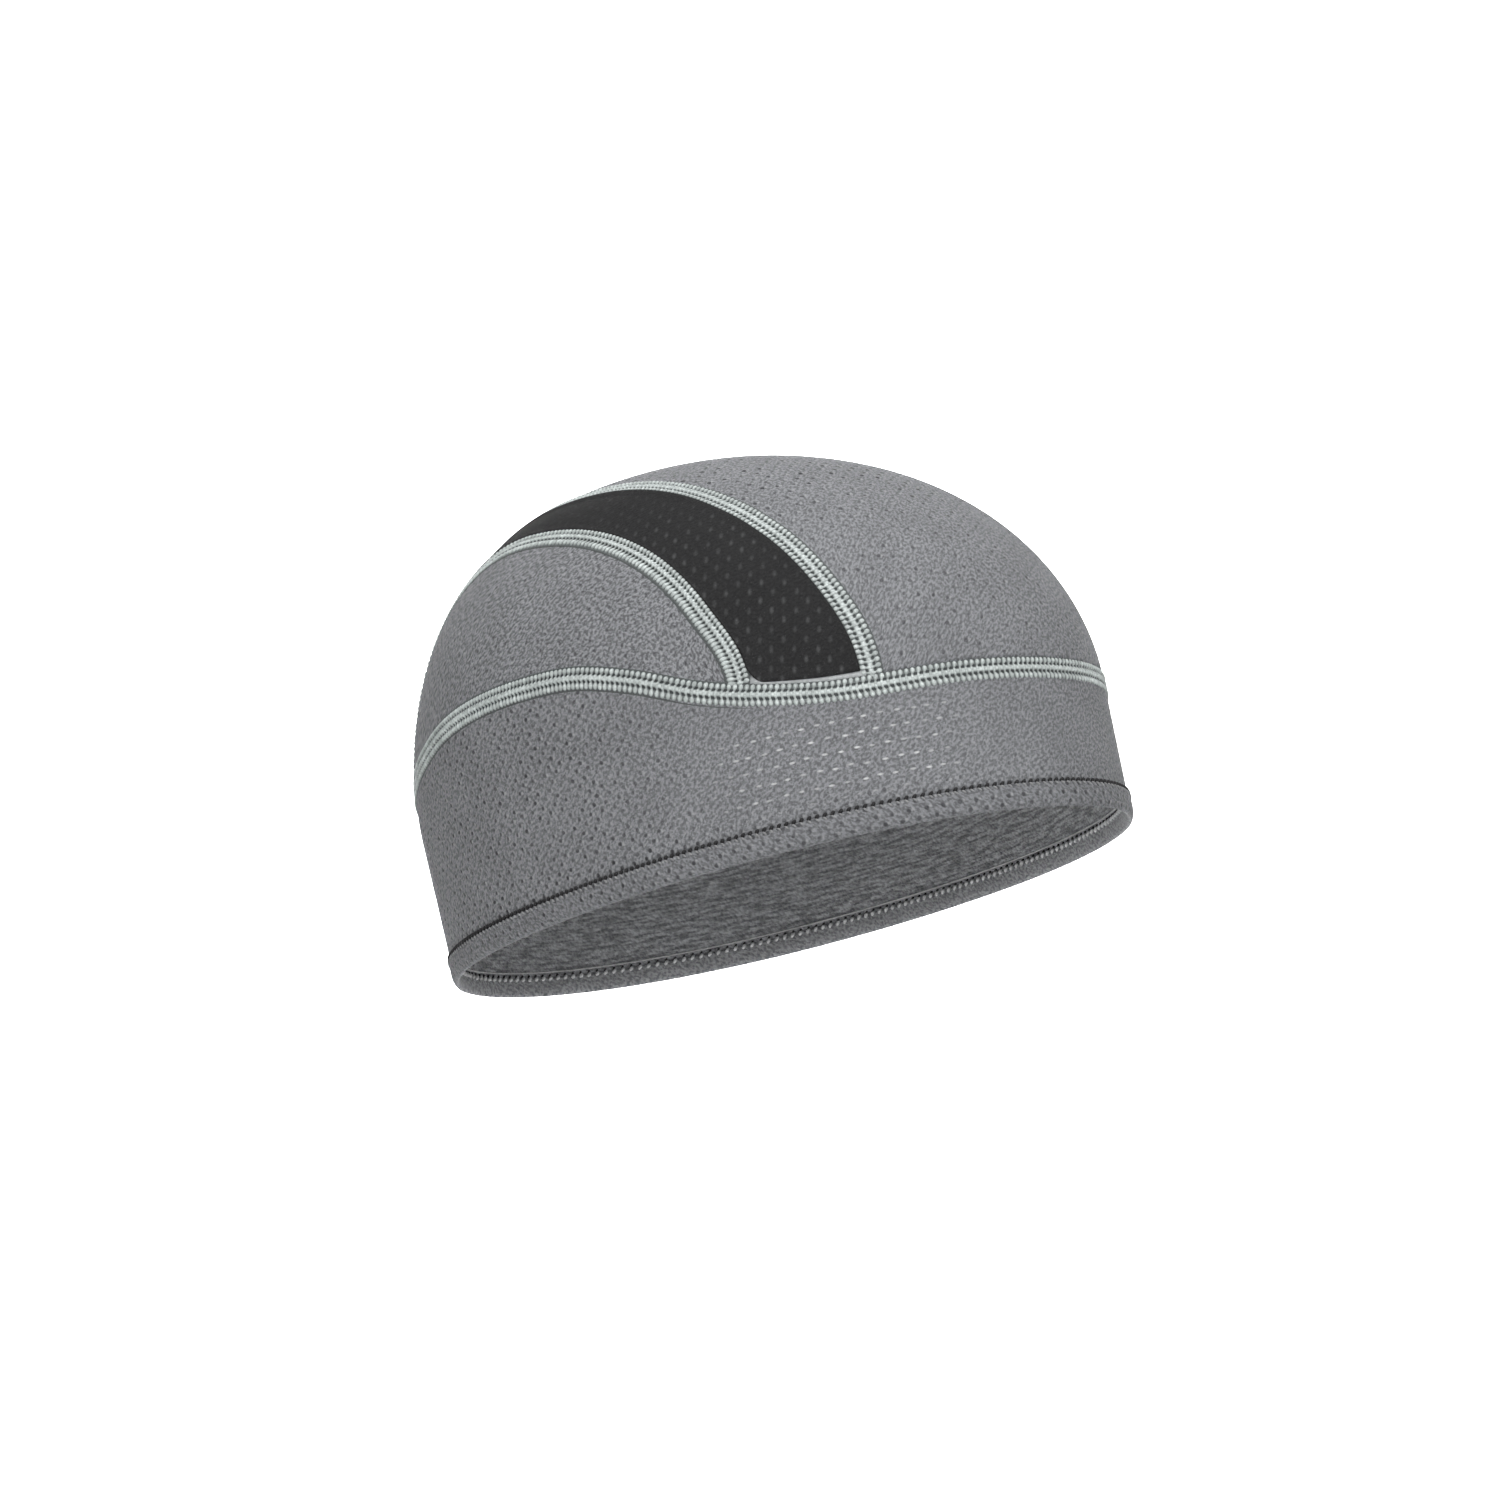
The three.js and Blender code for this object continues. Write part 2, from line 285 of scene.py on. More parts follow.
@dataclass(frozen=True)
class SeamPlan:
    """Where the seams run over the cap."""

    form: CapForm

    def band_seam(self, angle: Array) -> Array:
        """Middle line of the seam over the band, by angle from the forehead.

        Args:
            angle: Angles from the forehead, radians.

        Returns:
            Points on the surface.
        """
        turn = np.degrees(np.abs(np.arctan2(np.sin(angle), np.cos(angle))))
        angles = np.array([row.angle for row in BAND_SEAM_ROWS], float)
        heights = np.array([row.height for row in BAND_SEAM_ROWS], float)
        return self.form.wall(angle, read_table(angles, heights, turn))

    def strip_seam(self, edge: Edge, side: Side) -> Line:
        """Middle line of one strip seam; t runs from 0 at the forehead to 1 at the nape.

        Args:
            edge: Which long seam of the strip.
            side: The wearer's side.

        Returns:
            The line.
        """
        keys = np.array([row.y for row in STRIP_ROWS], float)
        values = np.array([getattr(row, edge.value) for row in STRIP_ROWS], float)
        _, eye_y, eye_z = self.form.eye

        def line(t: Array) -> Array:
            """Points of the seam's line.

            Args:
                t: Places from 0 at the forehead to 1 at the nape.

            Returns:
                Points on the surface.
            """
            sweep = np.pi * np.asarray(t, float)

            def at(reach: Array) -> Array:
                """Points at a reach from the middle of the hollow.

                Args:
                    reach: Distance from the middle for each sweep angle.

                Returns:
                    Points over the seam's line.
                """
                y = eye_y - reach * np.cos(sweep)
                x = side.value * read_table(keys, values, y)
                return np.stack([x, y, eye_z + reach * np.sin(sweep)], axis=-1)

            far = np.full_like(sweep, 2 * self.form.half_length)
            return at(bisect(lambda r: self.form.outside(at(r)) < 0, 0 * sweep, far))

        return line

    def frame_on(self, line: Line, t: Array) -> tuple[Array, Array, Array, Array]:
        """Points of a line with its run, its left side and the surface normal there.

        Args:
            line: Line on the surface.
            t: Places on the line.

        Returns:
            Points, runs, left sides and normals.
        """
        p = line(t)
        run = unit(line(t + LINE_STEP) - line(t - LINE_STEP))
        normal = self.form.normal(p)
        return p, run, unit(np.cross(normal, run)), normal

    def beside(self, line: Line, distance: float) -> Line:
        """A line moved sideways along the surface, to the left of its run.

        Args:
            line: Line on the surface.
            distance: How far it is moved.

        Returns:
            The moved line.
        """

        def moved(t: Array) -> Array:
            """Points of the moved line at t."""
            p, _, left, _ = self.frame_on(line, t)
            return self.form.onto(p + left * distance)

        return moved

    def over_band(self, p: Array) -> Array:
        """How far points lie over the band seam's middle line, measured up the surface.

        Args:
            p: Points on the surface.

        Returns:
            One distance for each point.
        """
        angle = self.form.angle_of(p)
        seam, _, up, _ = self.frame_on(self.band_seam, angle)
        return ((p - seam) * up).sum(-1)

    def clip(self, line: Line, front: float, back: float | None = None) -> Line:
        """The stretch of a line over the crown that stays clear above the band's seam.

        Args:
            line: Line from the forehead to the nape.
            front: Clearance at the forehead end.
            back: Clearance at the nape end; the same where it is not given.

        Returns:
            The clipped line.
        """
        wanted = np.array([front, front if back is None else back])
        ends, middle = np.array([0.005, 0.995]), np.array([0.5, 0.5])
        start, end = bisect(lambda t: self.over_band(line(t)) < wanted, ends, middle)
        return lambda t: line(start + (end - start) * np.asarray(t, float))

    def over_seam_edge(self, start: Array, end: Array, clearance: Callable[[Array], Array]) -> Line:
        """The line over the band's seam between two points, at a clearance above its middle line.

        Args:
            start: Its first point.
            end: Its last point.
            clearance: Clearance by share of the way.

        Returns:
            The line.
        """
        first = float(self.form.angle_of(start))
        turn = float(self.form.angle_of(end)) - first
        turn = math.atan2(math.sin(turn), math.cos(turn))

        def line(t: Array) -> Array:
            """Points of the line over the seam.

            Args:
                t: Places from 0 at the first point to 1 at the last.

            Returns:
                Points on the surface.
            """
            t = np.asarray(t, float)
            foot = self.band_seam(first + turn * t)
            top = np.array([0, self.form.eye[1], self.form.depth])

            def at(share: Array) -> Array:
                """Surface points between the seam and the crown."""
                return self.form.onto(foot + (top - foot) * share)

            share = np.zeros(t.shape + (1,))
            wanted = clearance(t)
            found = at(bisect(lambda s: (self.over_band(at(s)) < wanted)[..., None], share, share + 0.9))
            ends = np.where((t <= 0)[..., None], start, end)
            return np.where(((t <= 0) | (t >= 1))[..., None], ends, found)

        return line

    def span(self, left: Line, right: Line, first: Line, last: Line, counts: tuple[int, int]) -> Array:
        """Fill the space between four edges that meet at their corners with a grid of surface points.

        Args:
            left: Edge at the grid's first column.
            right: Edge at its last column.
            first: Edge at its first row.
            last: Edge at its last row.
            counts: Steps along and across.

        Returns:
            Grid of points, rows by columns by three.
        """
        s = np.linspace(0, 1, counts[0] + 1)
        t = np.linspace(0, 1, counts[1] + 1)
        ws, wt = s[:, None, None], t[None, :, None]
        a, b, c, d = left(s)[:, None], right(s)[:, None], first(t)[None], last(t)[None]
        grid = (1 - wt) * a + wt * b + (1 - ws) * c + ws * d
        grid = grid - (1 - ws) * ((1 - wt) * a[:1] + wt * b[:1]) - ws * ((1 - wt) * a[-1:] + wt * b[-1:])
        return self.form.onto(grid)


@dataclass
class MeshParts:
    """Points, quads, point values and the cloth map that become one mesh."""

    points: Array
    quads: Array
    face_slot: Array
    values: dict[str, Array] = field(default_factory=dict)
    cloth: Array | None = None

    def build(self, name: str, form: CapForm, materials: list[Material]) -> Thing:
        """Make the mesh object in the row frame.

        Args:
            name: Name of the object and its mesh.
            form: Cap form that places the points.
            materials: One material for each slot number.

        Returns:
            The new object, linked to the scene.
        """
        mesh = bpy.data.meshes.new(name)
        placed = form.place(self.points.reshape(-1, 3))
        mesh.vertices.add(len(placed))
        mesh.vertices.foreach_set("co", placed.astype(np.float32).ravel())
        mesh.loops.add(self.quads.size)
        mesh.loops.foreach_set("vertex_index", self.quads.astype(np.int32).ravel())
        mesh.polygons.add(len(self.quads))
        mesh.polygons.foreach_set("loop_start", np.arange(0, self.quads.size, 4, dtype=np.int32))
        mesh.polygons.foreach_set("material_index", self.face_slot.astype(np.int32))
        mesh.polygons.foreach_set("use_smooth", np.ones(len(self.quads), bool))
        for key, value in self.values.items():
            slot = mesh.attributes.new(key, "FLOAT", "POINT")
            slot.data.foreach_set("value", value.astype(np.float32).ravel())
        if self.cloth is not None:
            slot = mesh.attributes.new("cloth", "FLOAT_VECTOR", "CORNER")
            slot.data.foreach_set("vector", self.cloth.astype(np.float32).ravel())
        mesh.update(calc_edges=True)
        for material in materials:
            mesh.materials.append(material)
        thing = bpy.data.objects.new(name, mesh)
        bpy.context.scene.collection.objects.link(thing)
        return thing


def grid_quads(rows: int, columns: int, closed: bool) -> Array:
    """Quads of a grid of points, row by row.

    Args:
        rows: Number of rows.
        columns: Number of columns.
        closed: True where the last column joins the first.

    Returns:
        Corner numbers, one row for each quad.
    """
    i = np.arange(rows - 1)[:, None]
    j = np.arange(columns if closed else columns - 1)[None, :]
    k = (j + 1) % columns
    corners = [i * columns + j, i * columns + k, (i + 1) * columns + k, (i + 1) * columns + j]
    return np.stack(np.broadcast_arrays(*corners), axis=-1).reshape(-1, 4)


def arc_lengths(grid: Array, axis: int) -> Array:
    """Distance walked over a grid of points along one of its directions, from the middle line.

    Args:
        grid: Rows by columns by three.
        axis: Direction of the walk.

    Returns:
        One distance for each point.
    """
    steps = np.linalg.norm(np.diff(grid, axis=axis), axis=-1)
    total = np.insert(np.cumsum(steps, axis=axis), 0, 0, axis=axis)
    return total - np.take(total, [grid.shape[axis] // 2], axis=axis)


def smooth(value: Array, low: float, high: float) -> Array:
    """Rise smoothly from 0 at the low value to 1 at the high one, or fall where low is above high."""
    t = np.clip((value - low) / (high - low), 0, 1)
    return t * t * (3 - 2 * t)


class Board:
    """Lays out the shader nodes of one material."""

    def __init__(self, name: str) -> None:
        """Start an empty node material.

        Args:
            name: Name of the material.
        """
        self.material = bpy.data.materials.new(name)
        self.material.use_nodes = True
        self.tree = self.material.node_tree
        self.tree.nodes.clear()

    def node(self, kind: str, settings: dict[str, object] | None = None, **inputs: object) -> bpy.types.Node:
        """Add one node, set its properties and fill or link its inputs.

        Args:
            kind: The node's type.
            settings: Properties to set.
            inputs: Inputs by name, or by number after the letter i.

        Returns:
            The new node.
        """
        made = self.tree.nodes.new(kind)
        for key, value in (settings or {}).items():
            setattr(made, key, value)
        for key, value in inputs.items():
            self.feed(made.inputs[int(key[1:]) if key[1:].isdigit() else key.replace("_", " ")], value)
        return made

    def feed(self, socket: Socket, value: object) -> None:
        """Link a socket to another, or set its own value.

        Args:
            socket: Input to feed.
            value: An output to link, or a value.
        """
        if isinstance(value, Socket):
            self.tree.links.new(value, socket)
        else:
            socket.default_value = value

    def number(self, name: str) -> Socket:
        """A point value of the mesh."""
        return self.node("ShaderNodeAttribute", {"attribute_name": name}).outputs["Fac"]

    def vector(self, name: str) -> Socket:
        """A point vector of the mesh."""
        return self.node("ShaderNodeAttribute", {"attribute_name": name}).outputs["Vector"]

    def math(self, operation: str, a: object, b: object = 0.0) -> Socket:
        """One step of arithmetic."""
        return self.node("ShaderNodeMath", {"operation": operation}, i0=a, i1=b).outputs[0]

    def span(self, value: object, low: float, high: float, out_low: float, out_high: float) -> Socket:
        """Map one range of a value to another, smoothly and with clamped ends.

        Args:
            value: Value to map.
            low: Value that gives out_low.
            high: Value that gives out_high.
            out_low: Result at the low end.
            out_high: Result at the high end.

        Returns:
            The mapped value.
        """
        settings = {"interpolation_type": "SMOOTHSTEP"}
        ends = {"i1": low, "i2": high, "i3": out_low, "i4": out_high}
        return self.node("ShaderNodeMapRange", settings, i0=value, **ends).outputs[0]

    def mix(self, share: object, a: object, b: object, blend: str = "MIX") -> Socket:
        """Mix two colours."""
        settings = {"data_type": "RGBA", "blend_type": blend}
        return self.node("ShaderNodeMix", settings, i0=share, i6=a, i7=b).outputs[2]

    def noise(self, vector: object, scale: float, detail: float = 2.0) -> Socket:
        """Smooth noise from 0 to 1."""
        made = self.node("ShaderNodeTexNoise", None, Vector=vector, Scale=scale, Detail=detail)
        return made.outputs["Fac"]

    def mapped(self, vector: object, scale: Triple, turn: float) -> Socket:
        """A vector turned about its third axis and scaled.

        Args:
            vector: Vector to map.
            scale: Scale along each axis.
            turn: Angle in radians.

        Returns:
            The mapped vector.
        """
        made = self.node("ShaderNodeMapping", {"vector_type": "TEXTURE"}, Vector=vector)
        made.inputs["Rotation"].default_value = (0.0, 0.0, turn)
        made.inputs["Scale"].default_value = tuple(1 / s for s in scale)
        return made.outputs[0]

    def wander(self, value: object, chance: object, reach: float) -> Socket:
        """Shift a distance by a random share of the reach."""
        return self.math("ADD", value, self.math("MULTIPLY", self.math("SUBTRACT", chance, 0.5), reach))

    def spot(self, across: object, upward: object, wide: float, tall: float, soft: float) -> Socket:
        """Mask of an oval spot with soft edges; wide and tall are its half sizes.

        Args:
            across: Distance across from the centre.
            upward: Distance upward from it.
            wide: Half width.
            tall: Half height.
            soft: Share of the size over which the edge fades.

        Returns:
            The mask, from 0 to 1.
        """
        x = self.math("POWER", self.math("DIVIDE", across, wide), 2.0)
        y = self.math("POWER", self.math("DIVIDE", upward, tall), 2.0)
        return self.span(self.math("SQRT", self.math("ADD", x, y)), 1 - soft, 1 + soft, 1.0, 0.0)

    def bump(self, height: object, distance: float, normal: object = None) -> Socket:
        """Surface relief; the distance is in metres.

        Args:
            height: Height from 0 to 1.
            distance: Depth of the relief.
            normal: Normal to start from.

        Returns:
            The changed normal.
        """
        made = self.node("ShaderNodeBump", None, Height=height, Distance=distance, Strength=1.0)
        if normal is not None:
            self.feed(made.inputs["Normal"], normal)
        return made.outputs["Normal"]

    def finish(
        self, colour: object, roughness: float, normal: object, sheen: float, gloss: float = 0.25
    ) -> Material:
        """Close the material with a cloth surface.

        Args:
            colour: Base colour.
            roughness: Roughness.
            normal: Surface normal.
            sheen: Sheen weight.
            gloss: Specular level.

        Returns:
            The finished material.
        """
        shader = self.node("ShaderNodeBsdfPrincipled")
        self.feed(shader.inputs["Base Color"], colour)
        self.feed(shader.inputs["Normal"], normal)
        shader.inputs["Roughness"].default_value = roughness
        shader.inputs["Specular IOR Level"].default_value = gloss
        shader.inputs["Sheen Weight"].default_value = sheen
        shader.inputs["Sheen Roughness"].default_value = SHEEN_ROUGHNESS
        output = self.node("ShaderNodeOutputMaterial")
        self.feed(output.inputs["Surface"], shader.outputs[0])
        return self.material


class Colour(NamedTuple):
    """Base colour, linear."""

    red: float
    green: float
    blue: float

    def rgba(self) -> tuple[float, ...]:
        """The colour with full opacity."""
        return (self.red, self.green, self.blue, 1.0)


@dataclass(frozen=True)
class Lattice:
    """Half-staggered rows of eyelets on a cloth, and the size of one eyelet."""

    along: float = 4.1
    between: float = 1.93
    wide: float = 0.52
    tall: float = 0.52
    soft: float = 0.35
    wander: float = 0.5
    wander_upward: float = 0.6
    weakest: float = 0.55

    def centres(self, u: Array, v: Array) -> tuple[Array, Array, Array]:
        """Number each grid point's nearest eyelet and measure the distance to it.

        Args:
            u: Cloth distance along the rows.
            v: Cloth distance across them.

        Returns:
            Row numbers, column numbers and distances.
        """
        row = np.round(v / self.between)
        shift = 0.5 * (row % 2)
        column = np.round(u / self.along - shift)
        return row, column, np.hypot(u - (column + shift) * self.along, v - row * self.between)

    def mask(self, board: Board, cloth: Socket) -> Socket:
        """Mask of soft spots, each a little off its place in the lattice and of its own strength.

        Args:
            board: Node board of the material.
            cloth: Cloth position in millimetres.

        Returns:
            The mask, from 0 to 1.
        """
        axes = board.node("ShaderNodeSeparateXYZ", None, i0=cloth).outputs
        row = board.math("ROUND", board.math("DIVIDE", axes["Y"], self.between))
        shift = board.math("FRACT", board.math("MULTIPLY", row, 0.5))
        place = board.math("DIVIDE", axes["X"], self.along)
        column = board.math("ROUND", board.math("SUBTRACT", place, shift))
        cell = board.node("ShaderNodeCombineXYZ", None, i0=column, i1=row).outputs[0]
        chance = board.node("ShaderNodeTexWhiteNoise", {"noise_dimensions": "2D"}, Vector=cell)
        lots = board.node("ShaderNodeSeparateColor", None, i0=chance.outputs["Color"]).outputs
        centre = board.math("MULTIPLY", board.math("ADD", column, shift), self.along)
        across = board.wander(board.math("SUBTRACT", axes["X"], centre), lots[0], self.wander)
        upward = board.math("SUBTRACT", axes["Y"], board.math("MULTIPLY", row, self.between))
        upward = board.wander(upward, lots[1], self.wander * self.wander_upward)
        spot = board.spot(across, upward, self.wide, self.tall, self.soft)
        return board.math("MULTIPLY", spot, board.span(lots[2], 0.0, 0.7, self.weakest, 1.0))


@dataclass(frozen=True)
class GrainLayer:
    """One layer of the knit's grain: a smooth noise, stretched and turned along the cloth."""

    stretch: Triple
    turn: float
    detail: float
    low: float
    high: float
    share: float

    def height(self, board: Board, cloth: Socket) -> Socket:
        """The layer's part of the grain's height."""
        noise = board.noise(board.mapped(cloth, self.stretch, self.turn), 1.0, self.detail)
        return board.math("MULTIPLY", board.span(noise, self.low, self.high, 0.0, 1.0), self.share)


WORMS = GrainLayer(stretch=(0.9, 1.4, 1.0), turn=0.55, detail=1.0, low=0.36, high=0.64, share=0.55)
KNOTS = GrainLayer(stretch=(1.6, 1.1, 1.0), turn=-0.4, detail=2.0, low=0.34, high=0.66, share=0.45)


@dataclass(frozen=True)
class KnitFinish:
    """Stretch knit: fine slanted grain, staggered eyelets in painted shade and a few pale dashes."""

    name: str
    cloth: Colour
    eyelet: Colour
    dash: Colour
    lattice: Lattice = Lattice()
    dashes: Lattice = Lattice(along=4.1, between=3.85, wide=0.7, tall=0.27, soft=0.5, wander=0.8)
    grain: float = 0.3
    grain_range: Pair = (0.12, 0.88)
    cloud: float = 0.05
    cloud_scale: float = 0.07
    fade_scale: float = 0.16
    faintest: float = 0.55
    streak: float = 0.0
    streak_stretch: Triple = (0.16, 1.05, 1.0)
    relief: float = 0.00018
    pit_relief: float = 1.5
    roughness: float = 0.88
    sheen: float = 0.06
    gloss: float = 0.2
    # The glint is a painted highlight beside each eyelet, at this strength and offset.
    glint: float = 0.32
    glint_at: Triple = (0.95, -0.25, 0.0)

    def material(self) -> Material:
        """Make the node material.

        Returns:
            The finished material.
        """
        board = Board(self.name)
        cloth = board.vector("cloth")
        height = board.math("ADD", WORMS.height(board, cloth), KNOTS.height(board, cloth))
        colour = self.grain_colour(board, cloth, height)
        dark, light = self.marks(board, cloth)
        # Painted shade darkens the eyelets.
        colour = board.mix(dark, colour, self.eyelet.rgba())
        # Painted highlights: pale dashes and the glints beside the eyelets; on inner faces pale specks.
        colour = board.mix(light, colour, self.dash.rgba())
        sunk = board.math("SUBTRACT", height, board.math("MULTIPLY", dark, self.pit_relief))
        return board.finish(colour, self.roughness, board.bump(sunk, self.relief), self.sheen, self.gloss)

    def grain_colour(self, board: Board, cloth: Socket, height: Socket) -> Socket:
        """Cloth colour, darker between the loops and faintly clouded.

        Args:
            board: The material's node board.
            cloth: Cloth position in millimetres.
            height: Height of the grain.

        Returns:
            The colour.
        """
        shade = board.span(height, *self.grain_range, 1 - self.grain, 1 + self.grain)
        cloud = board.noise(cloth, self.cloud_scale, 3.0)
        cloud = board.span(cloud, 0.3, 0.7, 1 - self.cloud, 1 + self.cloud)
        shade = board.math("MULTIPLY", shade, cloud)
        if self.streak > 0:
            rows = board.noise(board.mapped(cloth, self.streak_stretch, 0.0), 1.0, 2.0)
            streak = board.span(rows, 0.36, 0.64, 1 - self.streak, 1 + self.streak)
            shade = board.math("MULTIPLY", shade, streak)
        tone = board.node("ShaderNodeCombineColor", None, i0=shade, i1=shade, i2=shade).outputs[0]
        return board.mix(1.0, self.cloth.rgba(), tone, "MULTIPLY")

    def marks(self, board: Board, cloth: Socket) -> tuple[Socket, Socket]:
        """Masks of painted eyelet shade and of pale marks: painted highlight dashes and glints, and specks.

        Args:
            board: The material's node board.
            cloth: Cloth position in millimetres.

        Returns:
            Eyelet shade mask, and the mask of the pale dashes and glints.
        """
        fade = board.span(board.noise(cloth, self.fade_scale, 1.0), 0.25, 0.6, self.faintest, 1.0)
        masks = []
        for lattice, strength in ((self.lattice, "eyelet"), (self.dashes, "highlight_and_speck")):
            mask = board.math("MULTIPLY", lattice.mask(board, cloth), fade)
            masks.append(board.math("MULTIPLY", mask, board.number(strength)))
        # Painted highlight: a pale glint beside each eyelet, as strong as the eyelet is open.
        beside = board.node("ShaderNodeVectorMath", {"operation": "SUBTRACT"}, i0=cloth, i1=self.glint_at)
        glint = replace(self.lattice, wide=0.36, tall=0.4, soft=0.7).mask(board, beside.outputs[0])
        glint = board.math("MULTIPLY", glint, board.math("MULTIPLY", board.number("eyelet"), self.glint))
        return masks[0], board.math("MAXIMUM", masks[1], glint)


@dataclass(frozen=True)
class ThreadFinish:
    """Spun thread: pale fibres with fine twist, darkened by painted shade where it sinks between stitches.
    """

    name: str
    thread: Colour
    shadow: Colour
    roughness: float = 0.6
    sheen: float = 0.04
    fibre_scale: float = 2600.0
    fibre_shade: float = 0.22
    fibre_relief: float = 0.00006
    broad_scale: float = 60.0
    broad_shade: float = 0.1
    mottle_scale: float = 1000.0
    mottle: float = 0.3

    def material(self) -> Material:
        """Make the node material.

        Returns:
            The finished material.
        """
        board = Board(self.name)
        where = board.node("ShaderNodeTexCoord").outputs["Object"]
        dark = self.shadow.rgba()
        fibre = board.noise(where, self.fibre_scale, 3.0)
        broad = board.noise(where, self.broad_scale, 2.0)
        pale = board.mix(board.span(fibre, 0.3, 0.7, 0.0, self.fibre_shade), self.thread.rgba(), dark)
        pale = board.mix(board.span(broad, 0.35, 0.65, 0.0, self.broad_shade), pale, dark)
        knots = board.noise(where, self.mottle_scale, 2.0)
        pale = board.mix(board.span(knots, 0.36, 0.64, 0.0, self.mottle), pale, dark)
        # Painted shade from the mesh's shade values, which also carry a random tone for each stitch.
        colour = board.mix(board.number("shade_and_tone"), pale, dark)
        return board.finish(colour, self.roughness, board.bump(fibre, self.fibre_relief), self.sheen)


@dataclass(frozen=True)
class PlainFinish:
    """Smooth matt surface of the floor and the backdrop."""

    name: str
    colour: Triple
    speck: Triple = (0.8, 0.8, 0.8)
    speck_scale: float = 300.0
    speck_share: float = 0.02
    roughness: float = 0.9
    relief: float = 0.00002

    def material(self) -> Material:
        """Make the node material.

        Returns:
            The finished material.
        """
        board = Board(self.name)
        where = board.node("ShaderNodeTexCoord").outputs["Object"]
        speck = board.noise(where, self.speck_scale, 2.0)
        share = board.span(speck, 0.3, 0.7, 0.0, self.speck_share)
        tone = board.mix(share, (*self.colour, 1.0), (*self.speck, 1.0))
        return board.finish(tone, self.roughness, board.bump(speck, self.relief), 0.0)


GREY = Colour(0.196, 0.2, 0.21)
# Painted shade: the hem's outer faces are darker than the band's knit.
SHADED_GREY_HEM = Colour(0.176, 0.18, 0.189)
# Painted light: the inner faces are paler than the outer face of the same knit.
LIT_GREY_INSIDE = Colour(0.256, 0.26, 0.27)
# Painted shade in the eyelets, which are sunk only a little; seen from inside it is paler.
EYELET_SHADE = Colour(0.04, 0.041, 0.044)
INSIDE_EYELET_SHADE = Colour(0.11, 0.112, 0.118)
# Pale marks: painted highlights as dashes and glints, and pale specks on inner faces.
PALE_HIGHLIGHT_AND_SPECK = Colour(0.56, 0.565, 0.57)
BLACK = Colour(0.0238, 0.0238, 0.0243)
PALE_DOT = Colour(0.068, 0.069, 0.07)
BAND_LATTICE = Lattice()
TOP_LATTICE = Lattice(along=7.3, between=2.1)
SIDE_LATTICE = Lattice(wide=0.45, tall=0.48)
STRIP_LATTICE = Lattice(along=5.9, between=2.6, wide=0.46, tall=0.8, soft=0.8, wander=0.3)
HEM_LATTICE = Lattice(along=4.02, between=2.3, wide=0.5, tall=0.55, wander=0.3)
PIPING_CLOTH = ThreadFinish("piping_cloth", Colour(0.50, 0.52, 0.525), Colour(0.17, 0.175, 0.18))
SEAM_THREAD = ThreadFinish("seam_thread", Colour(0.8, 0.862, 0.845), Colour(0.088, 0.098, 0.097))
# The stitches are real; their near-black colour is painted shade of the hem's grooves.
GROOVE_SHADE_THREAD = ThreadFinish("groove_shade_thread", Colour(0.02, 0.02, 0.021), Colour(0.01, 0.01, 0.01))
WHIP_THREAD = ThreadFinish("whip_thread", Colour(0.34, 0.345, 0.35), Colour(0.12, 0.12, 0.125))
LADDER_THREAD = ThreadFinish("ladder_thread", Colour(0.72, 0.725, 0.73), Colour(0.2, 0.2, 0.205))


@dataclass
class Finishes:
    """Every finish that the cap uses."""

    band: Material
    top: Material
    side: Material
    hem: Material
    hem_inside: Material
    inside: Material
    mesh: Material
    mesh_inside: Material
    piping: Material
    seam: Material
    groove: Material
    whip: Material
    ladder: Material

    @classmethod
    def make(cls) -> "Finishes":
        """Make all the materials once.

        Returns:
            The finishes.
        """
        knit = KnitFinish("grey_knit_band", GREY, EYELET_SHADE, PALE_HIGHLIGHT_AND_SPECK, BAND_LATTICE)
        side = replace(knit, name="grey_knit_side", lattice=SIDE_LATTICE, grain=0.38)
        # A copy of the knit made darker by painted shade, for the hem's outer faces.
        hem = replace(knit, name="grey_knit_hem", cloth=SHADED_GREY_HEM, lattice=HEM_LATTICE)
        # A copy of the knit made paler by painted light, for the inner faces.
        inside = replace(knit, name="grey_knit_inside", cloth=LIT_GREY_INSIDE, eyelet=INSIDE_EYELET_SHADE)
        black = KnitFinish("black_mesh", BLACK, PALE_DOT, PALE_DOT, STRIP_LATTICE)
        black = replace(black, grain=0.1, sheen=0.0, gloss=0.12, glint=0.0)
        return cls(
            band=knit.material(),
            top=replace(knit, name="grey_knit_top", lattice=TOP_LATTICE).material(),
            side=side.material(),
            hem=hem.material(),
            # The hem's inner faces take the paler knit of painted light too.
            hem_inside=replace(hem, name="grey_knit_hem_inside", cloth=LIT_GREY_INSIDE).material(),
            inside=replace(inside, streak=0.36, grain=0.26).material(),
            mesh=black.material(),
            mesh_inside=replace(black, name="black_mesh_inside", eyelet=BLACK).material(),
            piping=PIPING_CLOTH.material(),
            seam=SEAM_THREAD.material(),
            groove=GROOVE_SHADE_THREAD.material(),
            whip=WHIP_THREAD.material(),
            ladder=LADDER_THREAD.material(),
        )


class Cut(NamedTuple):
    """Flat size of a cloth before it was sewn and stretched, in metres and square metres."""

    width: float
    length: float
    area: float


class Piece(Protocol):
    """A part of the cap that can be built."""

    def build(self) -> list[Thing]:
        """Make the part's meshes."""


